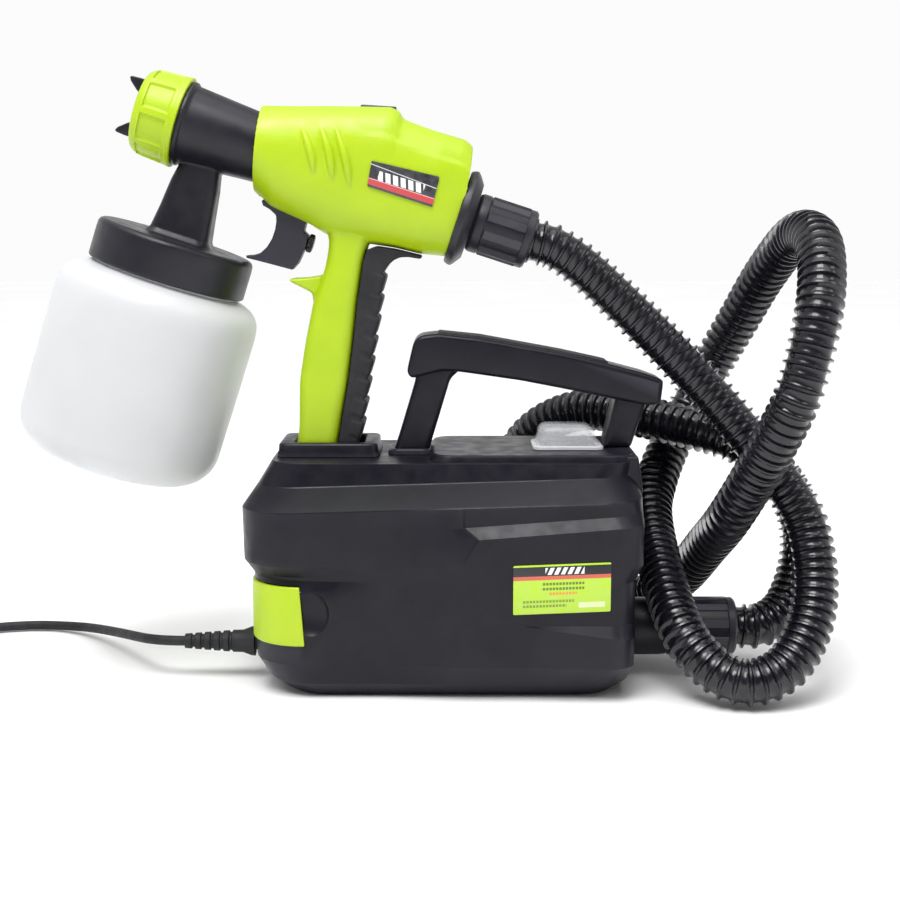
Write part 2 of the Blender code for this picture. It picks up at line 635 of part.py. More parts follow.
def mains_plug():
    """Round two-pin plug that lies beside the coil."""
    body = (
        (-0.0323, 0), (-0.0323, 0.0034), (-0.0460, 0.0052), (-0.0500, 0.0085), (-0.0620, 0.0125),
        (-0.0760, 0.0125), (-0.0780, 0.0115), (-0.0780, 0),
    )
    centre = (PLUG_X, PLUG_Z)
    plug = add("mains_plug", turned(body[::-1], "Y", centre, 20), RUBBER)
    for side in (-1, 1):
        pin = ((-0.0960, 0), (-0.0960, 0.0012), (-0.0945, 0.0020), (-0.0700, 0.0020), (-0.0700, 0))
        pin_centre = (PLUG_X + side * PIN_SPACING / 2, PLUG_Z)
        join(plug, cutter(f"plug_pin_form_{side}", turned(pin, "Y", pin_centre, 12)))


# ---------------------------------------------------------------- gun

def grip_point(height, front_share):
    """Point of the grip's section at a height in the base's axes, turned into the gun's axes."""
    x = GRIP_FRONT + front_share * (GRIP_BACK - GRIP_FRONT) + (height - GRIP_BOTTOM) * math.tan(DOCK_LEAN)
    dx, dz = x - GUN_ORIGIN[0], height - GUN_ORIGIN[2]
    cos, sin = math.cos(GUN_TIP), math.sin(GUN_TIP)
    return (dx * cos - dz * sin, dx * sin + dz * cos)


def grip_outline():
    """Lime part of the grip, with the finger stop at its front."""
    return (
        (0.1000, -0.0250), (0.1120, -0.0290), (0.1125, -0.0400), (0.1159, -0.0613), (0.1204, -0.0829),
        (0.1244, -0.1048), grip_point(0.1400, LIME_SHARE), grip_point(GRIP_BOTTOM, LIME_SHARE),
        grip_point(GRIP_BOTTOM, 0.0), grip_point(0.1380, 0.0), (0.0992, -0.1130), (0.0958, -0.0909),
        (0.0930, -0.0690), (0.0910, -0.0645), (0.0850, -0.0640), (0.0773, -0.0628), (0.0776, -0.0612),
        (0.0860, -0.0580), (0.0920, -0.0550), (0.0942, -0.0515), (0.0938, -0.0456), (0.0916, -0.0355),
        (0.0890, -0.0250),
    )


def gun_shells(gun):
    cavity = cutter("gun_cavity_form", prism((
        (0.0400, 0.0200), (0.0720, 0.0308), (0.1030, 0.0400), (0.1085, 0.0355), (0.1450, 0.0358),
        (0.1510, 0.0230), (0.1528, 0.0100), (0.1525, -0.0080), (0.1510, -0.0215), (0.1264, -0.0252),
        (0.0960, -0.0300), (0.0600, -0.0255), (0.0480, -0.0180),
    ), "Y", -0.0205, 0.0205), gun)
    barrel_hole = cutter("barrel_hole_form", turned(
        ((0.0300, 0), (0.0300, 0.0192), (0.0440, 0.0186), (0.0600, 0.0186), (0.0600, 0)), "X"), gun)
    rear_hole = cutter("rear_hole_form", turned(
        ((0.1480, 0), (0.1480, 0.0184), (0.1700, 0.0184), (0.1700, 0)), "X", (0.0, HOSE_LINE)), gun)
    slot = cutter("trigger_slot_form", block((0.0485, -0.0068, -0.0400), (0.0815, 0.0068, -0.0200)), gun)
    button_hole = cutter("button_hole_form", block((0.0857, -0.0058, 0.0300), (0.1053, 0.0058, 0.0500)), gun)
    grip_core = cutter("grip_core_form", prism((
        (0.0985, -0.0280), (0.1085, -0.0280), (0.1100, -0.0550), (0.1180, -0.1050), (0.1220, -0.1350),
        (0.1130, -0.1370), (0.1040, -0.1100), (0.0990, -0.0800), (0.0970, -0.0550),
    ), "Y", -0.0120, 0.0120), gun)
    for name, side in (("gun_shell_left", -1), ("gun_shell_right", 1)):
        depths = sorted((side * SEAM, side * BODY_HALF))
        shell = add(name, prism(BODY_OUTLINE, "Y", *depths), LIME, gun)
        soften_side(shell, side * BODY_HALF, 0.0060)
        depths = sorted((side * SEAM, side * GRIP_HALF))
        grip = cutter(name + "_grip_form", prism(grip_outline(), "Y", *depths), gun)
        soften_side(grip, side * GRIP_HALF, 0.0035)
        join(shell, grip)
        pin_profile = ((-0.0100, 0), (-0.0100, 0.0022), (0.0100, 0.0022), (0.0100, 0))
        pin_hole = turned(pin_profile, "Y", TRIGGER_PIVOT, 12)
        cut(shell, cavity, barrel_hole, rear_hole, slot, button_hole, grip_core,
            cutter(name + "_pin_form", pin_hole, gun))


def soften_side(obj, depth, width):
    """Bevels only the edges of the side face that lies at this depth."""
    bm = bmesh.new()
    bm.from_mesh(obj.data)
    edges = [e for e in bm.edges if all(abs(v.co.y - depth) < 1e-6 for v in e.verts)]
    bmesh.ops.bevel(
        bm, geom=edges, offset=width, segments=2, profile=0.6, affect="EDGES", clamp_overlap=True)
    bmesh.ops.recalc_face_normals(bm, faces=bm.faces)
    bm.to_mesh(obj.data)
    bm.free()
    obj.data.shade_smooth()
    obj.data.set_sharp_from_angle(angle=math.radians(35))


def grip_insert(gun):
    """Soft strip down the back of the grip, with ribs across it."""
    front = [
        (0.1420, -0.0274), (0.1265, -0.0286), (0.1165, -0.0303),
        (0.1124 + GAP, -0.0335), (0.1125 + GAP, -0.0400),
        (0.1159 + GAP, -0.0613), (0.1204 + GAP, -0.0829), (0.1244 + GAP, -0.1048),
    ]
    for height in (0.1400, GRIP_BOTTOM):
        x, z = grip_point(height, LIME_SHARE)
        front.append((x + GAP, z))
    back = [grip_point(GRIP_BOTTOM, 1.0), grip_point(0.1360, 1.0)]
    ribs = 8
    top, bottom = (0.1262, -0.0430), (0.1405, -0.1330)
    for i in range(ribs):
        low, high = (ribs - i - 0.15) / ribs, (ribs - i - 1) / ribs
        for share, out in ((low, 0.0), (high, 0.0011)):
            x = top[0] + share * (bottom[0] - top[0]) - 0.0008 + out
            back.append((x, top[1] + share * (bottom[1] - top[1])))
    back += [(0.1268, -0.0375), (0.1300, -0.0330), (0.1350, -0.0305), (0.1420, -0.0288)]
    half = GRIP_HALF - GAP
    insert = add("grip_insert", prism(front + back, "Y", -half, half), RUBBER, gun)
    for side in (-1, 1):
        soften_side(insert, side * half, 0.0025)


def spray_head(gun):
    """Barrel, neck and cup lid in one moulding."""
    barrel = (
        (-0.0162, 0), (-0.0162, 0.0196), (-0.0020, 0.0196), (-0.0020, 0.0230), (0.0004, 0.0230),
        (0.0004, 0.0213), (0.0400, 0.0182), (0.0480, 0.0182), (0.0480, 0),
    )
    head = add("spray_head", turned(barrel, "X", steps=28), BLACK, gun)
    loops = []
    for z, left, right, half in (
        (-0.0125, 0.0035, 0.0245, 0.0090), (-0.0250, 0.0002, 0.0270, 0.0100),
        (-0.0605, -0.0030, 0.0310, 0.0130),
    ):
        loops.append([Vector((x, y, z)) for x, y in rounded(left, right, -half, half, 0.006, 3)])
    neck = cutter("neck_form", loft(loops), gun)
    lid = cutter("lid_form", turned((
        (LID_TOP - 0.0025, 0), (LID_TOP - 0.0025, 0.0405), (LID_BOTTOM, 0.0405), (LID_BOTTOM, 0.0432),
        (LID_TOP - 0.0015, 0.0432), (LID_TOP, 0.0420), (LID_TOP, 0),
    ), "Z", (CUP_AXIS, 0.0), 28), gun)
    passage = cutter("paint_passage_form", turned(
        ((-0.0700, 0), (-0.0700, 0.0030), (0.0010, 0.0030), (0.0010, 0)), "Z", (CUP_AXIS, 0.0), 12), gun)
    bore_profile = (
        (-0.0200, 0), (-0.0200, 0.0084), (-0.0056, 0.0084), (-0.0056, 0.0060), (0.0600, 0.0060), (0.0600, 0),
    )
    bore = cutter("barrel_bore_form", turned(bore_profile, "X", steps=20), gun)
    join(head, neck, lid)
    cut(head, bore, passage)


def nozzle_parts(gun):
    nozzle = (
        (-0.0265, 0.0016), (-0.0265, 0.0024), (-0.0250, 0.0030), (-0.0168, 0.0060), (-0.0168, 0.0080),
        (-0.0060, 0.0080), (-0.0060, 0.0016),
    )
    add("fluid_nozzle", turned(nozzle, "X", steps=20), BRASS, gun)
    cap = (
        (-0.0270, 0.0036), (-0.0270, 0.0150), (-0.0255, 0.0166), (-0.0222, 0.0166), (-0.0222, 0.0194),
        (-0.0166, 0.0194), (-0.0166, 0.0090), (-0.0210, 0.0070), (-0.0255, 0.0036),
    )
    air_cap = add("air_cap", turned(cap, "X", steps=24), BLACK, gun, (-0.0166, 0.0, 0.0))
    for side in (-1, 1):
        outline = [(x, side * z) for x, z in HORN_OUTLINE]
        join(air_cap, cutter(f"horn_form_{side}", prism(outline, "Y", -0.0035, 0.0035), gun))
    nut = (
        (-0.0255, 0.0170), (-0.0255, 0.0205), (-0.0235, 0.0228), (-0.0040, 0.0243), (-0.0024, 0.0236),
        (-0.0024, 0.0200), (-0.0225, 0.0200), (-0.0225, 0.0170),
    )
    add("air_cap_nut", turned(nut, "X", steps=28), LIME, gun, (-0.0024, 0.0, 0.0))


def needle_parts(gun):
    needle = (
        (-0.0262, 0), (-0.0262, 0.0004), (-0.0225, 0.0012), (0.0683, 0.0012), (0.0683, 0.0036),
        (0.0703, 0.0036), (0.0703, 0.0012), (0.0780, 0.0012), (0.0780, 0),
    )
    add("needle", turned(needle, "X", steps=12), STEEL, gun, (0.0683, 0.0, 0.0))
    packing = ((0.0300, 0.0016), (0.0300, 0.0056), (0.0380, 0.0056), (0.0380, 0.0016))
    add("needle_packing", turned(packing, "X", steps=16), WHITE, gun)


def trigger_parts(gun):
    px, pz = TRIGGER_PIVOT
    outline = (
        (0.0595, 0.0165), (0.0675, 0.0165), (0.0675, -0.0080), (0.0765, -0.0240), (0.0770, -0.0345),
        (0.0800, -0.0360), (0.0805, -0.0420), (0.0792, -0.0520), (0.0772, -0.0565), (0.0640, -0.0572),
        (0.0515, -0.0578), (0.0513, -0.0566), (0.0570, -0.0540), (0.0605, -0.0480), (0.0622, -0.0390),
        (0.0604, -0.0312), (0.0560, -0.0292), (0.0520, -0.0284), (0.0505, -0.0262), (0.0560, -0.0200),
        (0.0595, -0.0080),
    )
    trigger = add("trigger", prism(outline, "Y", -0.0060, 0.0060), BLACK, gun, (px, 0.0, pz))
    fork = cutter("trigger_fork_form", block((0.0500, -0.0024, -0.0060), (0.0700, 0.0024, 0.0200)), gun)
    hole = cutter("trigger_hole_form", turned(
        ((-0.0100, 0), (-0.0100, 0.0023), (0.0100, 0.0023), (0.0100, 0)), "Y", (px, pz), 16), gun)
    knob_hole = cutter("knob_hole_form", turned(
        ((0.0700, 0), (0.0700, 0.0023), (0.0900, 0.0023), (0.0900, 0)), "X", (0.0, -0.0400), 12), gun)
    cut(trigger, fork, hole, knob_hole)
    pin = ((-0.0090, 0), (-0.0090, 0.0018), (0.0090, 0.0018), (0.0090, 0))
    add("trigger_pin", turned(pin, "Y", (px, pz), 12), STEEL, gun, (px, 0.0, pz))
    spring = ((0.0064, 0.0026), (0.0064, 0.0042), (0.0096, 0.0042), (0.0096, 0.0026))
    add("trigger_spring", turned(spring, "Y", (px, pz), 14), STEEL, gun, (px, 0.0, pz))
    knob = (
        (0.0712, 0), (0.0712, 0.0019), (0.0806, 0.0019), (0.0806, 0.0046), (0.0820, 0.0050), (0.0842, 0.0050),
        (0.0850, 0.0042), (0.0850, 0),
    )
    add("flow_knob", turned(knob, "X", (0.0, -0.0400), 16), BLACK, gun, (0.0806, 0.0, -0.0400))


def cup_parts(gun):
    """Paint cup, its seal and the pickup tube that hangs in it."""
    outer = [
        (-0.0640, 0.0400), (-0.0830, 0.0400), (-0.0850, 0.0455), (-0.0880, 0.0510), (-0.0930, 0.0545),
        (-0.0990, 0.0555), (-0.1700, 0.0555),
    ]
    for i in range(1, 4):
        turn = math.pi / 2 * i / 3
        outer.append((-0.1700 - 0.0200 * math.sin(turn), 0.0355 + 0.0200 * math.cos(turn)))
    inner = [(-0.1878, 0), (-0.1878, 0.0350), (-0.1845, 0.0460), (-0.1700, 0.0533),
             (-0.0990, 0.0533), (-0.0895, 0.0490), (-0.0840, 0.0376),
             (-0.0640, 0.0376)]
    profile = [(-0.1900, 0)] + outer[::-1] + inner[::-1]
    cup = turned(profile, "Z", (CUP_AXIS, 0.0), 28)
    add("paint_cup", cup, MILKY, gun, (CUP_AXIS, 0.0, -0.0640))
    seal = ((-0.0637, 0.0350), (-0.0637, 0.0402), (-0.0628, 0.0402), (-0.0628, 0.0350))
    add("cup_seal", turned(seal, "Z", (CUP_AXIS, 0.0), 28), RUBBER, gun)
    tube_profile = ((-0.1820, 0.0018), (-0.1820, 0.0027), (-0.0300, 0.0027), (-0.0300, 0.0018))
    add("pickup_tube", turned(tube_profile, "Z", (CUP_AXIS, 0.0), 12), WHITE, gun)


def rear_parts(gun):
    """Hose collar at the back of the gun and the cuff that turns on it."""
    collar = (
        (0.1500, SPIGOT_BORE), (0.1500, 0.0180), (0.1562, 0.0180), (0.1562, 0.0262), (0.1585, 0.0256),
        (0.1622, 0.0205), (0.1622, SPIGOT_R), (0.1830, SPIGOT_R), (0.1830, SPIGOT_BORE),
    )
    add("rear_collar", turned(collar, "X", (0.0, HOSE_LINE), 24), BLACK, gun)
    cuff = (
        (0.1625, CUFF_BORE), (0.1625, 0.0150), (0.1642, CUFF_R - 0.0002), (0.1925, CUFF_R), (0.1955, 0.0146),
        (0.1955, 0.0108), (0.1834, 0.0108), (0.1834, CUFF_BORE),
    )
    add("gun_cuff", turned(cuff, "X", (0.0, HOSE_LINE)), BLACK, gun, (0.1625, 0.0, HOSE_LINE))


def trim_parts(gun):
    """Button in the top of the body, flush with its slope, and the badge on the side."""
    top = [(0.0862, 0.0390), (0.1048, 0.0439)]
    bottom = [(x, z - 0.0110) for x, z in top]
    add("release_button", prism(bottom + top[::-1], "Y", -0.0054, 0.0054), BLACK, gun, (0.0955, 0.0, 0.0380))
    badge = ((0.1020, 0.0117), (0.1378, 0.0126), (0.1390, -0.0012), (0.1035, -0.0014))
    side = -BODY_HALF - GAP
    add("gun_badge", prism(badge, "Y", side - BADGE_THICK, side), PRINT, gun, smooth=False)


def build_gun():
    gun = bpy.data.objects.new("gun_frame", None)
    bpy.context.scene.collection.objects.link(gun)
    gun.location = GUN_ORIGIN
    gun.rotation_euler = (0.0, GUN_TIP, 0.0)
    gun_shells(gun)
    grip_insert(gun)
    spray_head(gun)
    nozzle_parts(gun)
    needle_parts(gun)
    trigger_parts(gun)
    cup_parts(gun)
    rear_parts(gun)
    trim_parts(gun)


def build_base():
    base_shells()
    feet()
    screws()
    carry_handle()
    gun_dock()
    switch_parts()
    filter_parts()
    outlet_parts()
    fan_housing()
    impeller()
    motor()
    wiring()
    base_label()


clear_scene()
build_base()
build_gun()
cords()
mains_plug()
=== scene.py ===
"""Looks of the turbine paint sprayer: finished pieces, materials, camera and light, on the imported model.

Metres, +Z up, the base's underside at z = 0; tables inside mm() are written in millimetres.
Gun pieces are modelled level in the gun's own axes (X to the rear, Z up, origin on the barrel's axis
at its front flange) and placed by GUN.
"""

import json
import math

import bmesh
import bpy
import numpy as np
from mathutils import Matrix, Vector


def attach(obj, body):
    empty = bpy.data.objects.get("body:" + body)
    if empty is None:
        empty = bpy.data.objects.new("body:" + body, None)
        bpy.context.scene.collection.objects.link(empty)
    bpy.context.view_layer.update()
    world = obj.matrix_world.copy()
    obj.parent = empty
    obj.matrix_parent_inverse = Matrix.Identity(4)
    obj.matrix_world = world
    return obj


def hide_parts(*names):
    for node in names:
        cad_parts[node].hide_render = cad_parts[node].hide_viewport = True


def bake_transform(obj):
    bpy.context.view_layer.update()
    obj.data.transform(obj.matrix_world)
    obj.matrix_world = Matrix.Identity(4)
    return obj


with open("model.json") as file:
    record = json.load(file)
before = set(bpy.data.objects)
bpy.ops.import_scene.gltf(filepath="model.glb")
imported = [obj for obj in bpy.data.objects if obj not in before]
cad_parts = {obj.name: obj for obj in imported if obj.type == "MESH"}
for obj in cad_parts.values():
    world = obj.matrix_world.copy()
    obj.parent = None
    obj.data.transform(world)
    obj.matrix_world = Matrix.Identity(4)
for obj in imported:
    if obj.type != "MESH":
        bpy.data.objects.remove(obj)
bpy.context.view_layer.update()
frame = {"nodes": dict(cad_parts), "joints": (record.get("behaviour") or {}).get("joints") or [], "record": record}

JOINTS = {joint["name"]: joint for joint in frame["joints"]}
REAR = Vector(JOINTS["air_cap_turn"]["axis"]).normalized()
UP = Vector(JOINTS["cup_turn"]["axis"]).normalized()
GUN_AXES = Matrix((REAR, UP.cross(REAR), UP)).transposed().to_4x4()
GUN = Matrix.Translation(JOINTS["air_cap_turn"]["pos_m"]) @ GUN_AXES
HERE = Matrix.Identity(4)


def mm(*rows):
    """Rows of numbers written in millimetres, as metres."""
    return [tuple(round(value / 1000, 7) for value in row) for row in rows]


# Base housing sections, close to the CAD: height, left, right, half depth, corner radius and rise.
WALL = 0.0025
THICK_WALL = 0.0055
BASE_SECTIONS = mm(
    (0, -82, 94, 50, 22, 0), (6, -92, 100, 56.5, 26, 0), (18, -100, 102, 60.5, 28, 0),
    (64, -101, 102.5, 61.5, 28, 0), (72, -106, 106.5, 64, 30, 0), (103.5, -106.5, 106.5, 64, 30, 3),
    (114, -99, 103, 48, 24, 3), (124, -91, 104.5, 45, 20, 0))
BASE_TOP = 0.124
DECK_TOP = 0.1275
SPLIT_Y = 0.004
GAP = 0.0003
FACE_CORNER = 0.014
LEDGE_LEFT = 0.0125
LEDGE_STEP = 0.0012
LEDGE_SLANT = 0.0074
WEDGE_LEFT = 0.044
PANEL_START = -0.035
PANEL_DEPTH = 0.0662
COLUMNS = sorted({LEDGE_LEFT - LEDGE_STEP, LEDGE_LEFT, WEDGE_LEFT} | {i * 0.004 - 0.056 for i in range(32)})
FEET = [(x, y) for x in (-0.062, 0.072) for y in (-0.034, 0.034)]
SCREWS = mm((-70, 80), (-60, 20), (78, 25), (10, 83))
BLOWER_Z = 0.062
RIB_HALF = 0.0015
RIBS = mm((-18.5, 45.5), (9.4, 34.5), (51, 34.5), (68.2, 7.8))
OUTLET_Y = -0.008
OUTLET_Z = 0.0265
SPIGOT_R = 0.0122
SPIGOT_BORE = 0.0098
CUFF_BORE = 0.0126
COVER_RIGHT = -0.073
COVER_LOW = 0.0295
COVER_LEAN = 0.075
COVER_HIGH = 0.0613
LOUVRES = (0.0375, 0.0415, 0.0455, 0.0495, 0.0535)

FLOOR_SIZE = 6.0
LIT_SPOT = (0.0, 0.0, 0.15)

# Gun
BODY_TOP = mm(
    (36, 22.2), (55, 28), (72, 33.5), (88, 38.5), (103, 43), (107.5, 41.5), (110.5, 38.6), (126, 38),
    (145.5, 38.6), (151, 36))
BODY_BOTTOM = mm(
    (45, -22.8), (50, -25.2), (56.6, -28.3), (78.7, -30.3), (89.8, -32.8), (96, -33), (126.4, -28),
    (141, -26.8), (153.5, -24))
BODY_HALF = 0.024
GRIP_HALF = 0.015
CUP_AXIS = 0.0125
HOSE_LINE = -0.0015
TRIGGER_PIVOT = (0.064, 0.012)
GRIP_BOTTOM = 0.102
GRIP_FRONT = -0.0838
GRIP_BACK = -0.0482
LIME_SHARE = 0.63
CREASE = ((0.085, 0.024), (0.11, 0.0255), (0.155, 0.024))
RIB_LINES = (
    mm((60.9, 18.4), (74.7, -4.4)), mm((70.6, 21.6), (85.1, -4.9)), mm((77.8, 23.9), (95, -5.7)),
)
NUT_PANELS = 8
DOCK_LEAN = math.radians(9.0)

# Cords
HOSE_R = 0.0125
HOSE_PITCH = 0.0056
CORD_R = 0.00275
GLAND_Y = -0.018
GLAND_Z = 0.0205
PLUG_X = -0.338
PLUG_Z = 0.013
PIN_SPACING = 0.019
COIL_PITCH = 0.0056
COIL_CENTRE = (-0.308, 0.03)
COIL_R = 0.03
AIR_HOSE_ROUTE = mm(
    (48.8, 0, 240.1), (64, 0, 235), (88.5, 0, 216), (142.5, -4, 162.5), (189, -21, 105), (199, -37, 74),
    (195.5, -55, 44), (180, -69, 21), (157, -73, 13.6), (137, -61, 23), (125, -37, 43), (120.5, 22, 79),
    (127, 50, 100), (141, 68, 127), (158, 72, 159), (173.5, 62, 191), (186, 40, 222), (195, 6, 243),
    (198, -30, 239), (194, -56, 213), (186.5, -65, 180), (178, -62, 151), (159, -29, 98), (150, 5, 70),
    (139, 46, 40), (120, 84, 20), (88, 108, 18), (56, 118, 38), (42, 116, 76), (48, 104, 110), (68, 88, 131),
    (96, 68, 138.5), (152, 28, 131), (178, 22, 120), (197.5, 22, 100), (205.5, 18, 76), (203, 10, 53),
    (192.5, -2, 34.5), (178, -8, 26.7), (163.4, -8, 26.5))
POWER_CORD_ROUTE = mm(
    (-142.3, -18, 20.5), (-148.5, -18, 20.6), (-156.5, -16.6, 20.6), (-163.5, -12.4, 20.1),
    (-169.2, -6, 19.1), (-176.6, 5.5, 17), (-183.8, 17.5, 14.7), (-191.2, 30, 12.2), (-199.2, 43, 9.6),
    (-208.5, 56, 7.1), (-220, 68, 4.9), (-234.5, 76.5, 3.4), (-250.5, 79, 3.1), (-266, 76.5, 3.1),
    (-280, 72.2, 3.1), (-292.5, 69, 3.1))
CORD_TAIL_ROUTE = mm(
    (-332.5, 24, 19.6), (-332.7, 13, 20.2), (-333.1, 4, 20.2), (-334, -5, 18.8), (-335.5, -14, 15.8),
    (-337, -23, 13.7), (-338, -32.3, 13))


# ---------------------------------------------------------------- shapes

def place(axis, along, first, second):
    """Point at a distance along an axis, with the two other coordinates in X, Y, Z order."""
    if axis == "X":
        return Vector((along, first, second))
    if axis == "Y":
        return Vector((first, along, second))
    return Vector((first, second, along))


def bridge(bm, rings, closed=False):
    """Quads between successive rings of vertices."""
    pairs = list(zip(rings, rings[1:]))
    if closed:
        pairs.append((rings[-1], rings[0]))
    count = len(rings[0])
    for low, high in pairs:
        for i in range(count):
            j = (i + 1) % count
            bm.faces.new((low[i], low[j], high[j], high[i]))


def loft(loops):
    """Solid through loops of equal length, closed at both ends."""
    bm = bmesh.new()
    rings = [[bm.verts.new(point) for point in loop] for loop in loops]
    bridge(bm, rings)
    bm.faces.new(rings[0][::-1])
    bm.faces.new(rings[-1])
    return bm


def turned(profile, axis, centre=(0.0, 0.0), steps=96, flutes=None):
    """Ring of revolution of (along, radius) points; flutes(turn, along, radius) adds to each."""
    bm = bmesh.new()
    rings = []
    for along, radius in profile:
        ring = []
        for i in range(steps):
            turn = 2 * math.pi * i / steps
            reach = radius + (flutes(turn, along, radius) if flutes else 0.0)
            ring.append(bm.verts.new(place(
                axis, along, centre[0] + reach * math.cos(turn), centre[1] + reach * math.sin(turn))))
        rings.append(ring)
    bridge(bm, rings, closed=True)
    return bm


def rod(start, end, radius, axis, centre=(0.0, 0.0), steps=96):
    """Cylinder along an axis, mostly to cut holes with."""
    return turned(((start, 0.0), (start, radius), (end, radius), (end, 0.0)), axis, centre, steps)


def eased(points, reach, steps=3, closed=True):
    """Points with every corner rounded off over a reach along its two edges."""
    points = [np.array(point, float) for point in points]
    last = len(points) - 1
    smooth = []
    for i, corner in enumerate(points):
        if not closed and i in (0, last):
            smooth.append(corner)
            continue
        before, after = points[i - 1], points[(i + 1) % len(points)]
        share_in = min(0.45, reach / max(1e-9, np.linalg.norm(before - corner)))
        share_out = min(0.45, reach / max(1e-9, np.linalg.norm(after - corner)))
        start = corner + share_in * (before - corner)
        end = corner + share_out * (after - corner)
        for k in range(steps + 1):
            t = k / steps
            smooth.append((1 - t) ** 2 * start + 2 * t * (1 - t) * corner + t * t * end)
    return smooth


def inset(outline, distance):
    """Closed outline moved inwards by a distance."""
    points = [Vector(point) for point in outline]
    count = len(points)
    area = sum(points[i - 1].x * points[i].y - points[i].x * points[i - 1].y for i in range(count))
    side = math.copysign(distance, area)
    moved = []
    for i, here in enumerate(points):
        into = (here - points[i - 1]).normalized()
        out = (points[(i + 1) % count] - here).normalized()
        normal = Vector((-into.y - out.y, into.x + out.x))
        moved.append(here + normal * side / max(0.6, 1 + into.dot(out)))
    return moved


def cushion(outline, axis, middle, half, radius, steps=5, reach=0.0, corner_steps=3):
    """Outline extruded both ways from a middle plane, with rounded rims, and corners eased over a reach."""
    levels = []
    for k in range(steps + 1):
        turn = math.pi / 2 * k / steps
        loop = inset(outline, radius * (1 - math.sin(turn)))
        if reach:
            loop = eased(loop, max(0.25 * reach, reach - radius * (1 - math.sin(turn))), corner_steps)
        levels.append((half - radius + radius * math.cos(turn), [tuple(point) for point in loop]))
    stack = [(-out, loop) for out, loop in levels] + [(out, loop) for out, loop in levels[::-1]]
    return loft([[place(axis, middle + out, a, b) for a, b in loop] for out, loop in stack])


def rounded(left, right, front, back, radius, steps=8):
    """Rounded rectangle as a list of two coordinates."""
    corners = ((right, back, 0), (left, back, 1), (left, front, 2), (right, front, 3))
    points = []
    for a, b, quarter in corners:
        centre_a = a - math.copysign(radius, a - (left + right) / 2)
        centre_b = b - math.copysign(radius, b - (front + back) / 2)
        for i in range(steps + 1):
            turn = (quarter + i / steps) * math.pi / 2
            points.append((centre_a + radius * math.cos(turn), centre_b + radius * math.sin(turn)))
    return points


def stacked(levels):
    """Solid through (height, left, right, front, back, corner radius) rounded rectangles."""
    return loft([[Vector((x, y, z)) for x, y in rounded(*level)] for z, *level in levels])


def block(low, high):
    corners = ((low[0], low[1]), (high[0], low[1]), (high[0], high[1]), (low[0], high[1]))
    return loft([[Vector((x, y, z)) for x, y in corners] for z in (low[2], high[2])])


def smooth_route(route, spacing):
    """Evenly spaced points on a smooth curve through a route's points."""
    knots = [Vector(point) for point in route]
    knots = [2 * knots[0] - knots[1]] + knots + [2 * knots[-1] - knots[-2]]
    fine = []
    for before, start, end, after in zip(knots, knots[1:], knots[2:], knots[3:]):
        for i in range(24):
            t = i / 24
            point = (2 * t**3 - 3 * t**2 + 1) * start + (t**3 - 2 * t**2 + t) * (end - before) / 2
            fine.append(point + (3 * t**2 - 2 * t**3) * end + (t**3 - t**2) * (after - start) / 2)
    fine.append(knots[-2])
    lengths = [0.0]
    for a, b in zip(fine, fine[1:]):
        lengths.append(lengths[-1] + (b - a).length)
    count = max(2, round(lengths[-1] / spacing))
    even = []
    k = 0
    for i in range(count + 1):
        target = lengths[-1] * i / count
        while k < len(fine) - 2 and lengths[k + 1] < target:
            k += 1
        even.append(fine[k].lerp(fine[k + 1], (target - lengths[k]) / (lengths[k + 1] - lengths[k])))
    return even


def route_length(points):
    return sum((b - a).length for a, b in zip(points, points[1:]))


def at(points, x):
    """Height of a polyline of (x, height) points at x."""
    return float(np.interp(x, [p[0] for p in points], [p[1] for p in points]))


# ---------------------------------------------------------------- pieces

def in_scene(name, data):
    """New object linked to the scene."""
    obj = bpy.data.objects.new(name, data)
    bpy.context.scene.collection.objects.link(obj)
    return obj


def temporary(bm):
    bmesh.ops.recalc_face_normals(bm, faces=bm.faces)
    mesh = bpy.data.meshes.new("temporary")
    bm.to_mesh(mesh)
    bm.free()
    return in_scene("temporary", mesh)


def evaluated(obj, *helpers):
    """The object's mesh with its modifiers applied, as a bmesh; the objects are removed."""
    graph = bpy.context.evaluated_depsgraph_get()
    mesh = obj.evaluated_get(graph).to_mesh()
    bm = bmesh.new()
    bm.from_mesh(mesh)
    for each in (obj, *helpers):
        bpy.data.objects.remove(each)
    return bm


def combined(bm, joins=(), cuts=()):
    """Boolean unions, then differences."""
    obj = temporary(bm)
    helpers = []
    for operation, shapes in (("UNION", joins), ("DIFFERENCE", cuts)):
        for shape in shapes:
            helpers.append(temporary(shape))
            step = obj.modifiers.new("step", "BOOLEAN")
            step.operation = operation
            step.object = helpers[-1]
            step.solver = "EXACT"
    return evaluated(obj, *helpers)


def moulded(bm, voxel, passes):
    """One skin over overlapping solids, with every edge and junction softened as in a moulding."""
    obj = temporary(bm)
    skin = obj.modifiers.new("skin", "REMESH")
    skin.mode = "VOXEL"
    skin.voxel_size = voxel
    soft = obj.modifiers.new("soft", "SMOOTH")
    soft.factor = 0.5
    soft.iterations = passes
    return evaluated(obj)


def merged(*shapes):
    """Several shapes in one bmesh."""
    whole = bmesh.new()
    for shape in shapes:
        mesh = bpy.data.meshes.new("part")
        bmesh.ops.recalc_face_normals(shape, faces=shape.faces)
        shape.to_mesh(mesh)
        shape.free()
        whole.from_mesh(mesh)
        bpy.data.meshes.remove(mesh)
    return whole


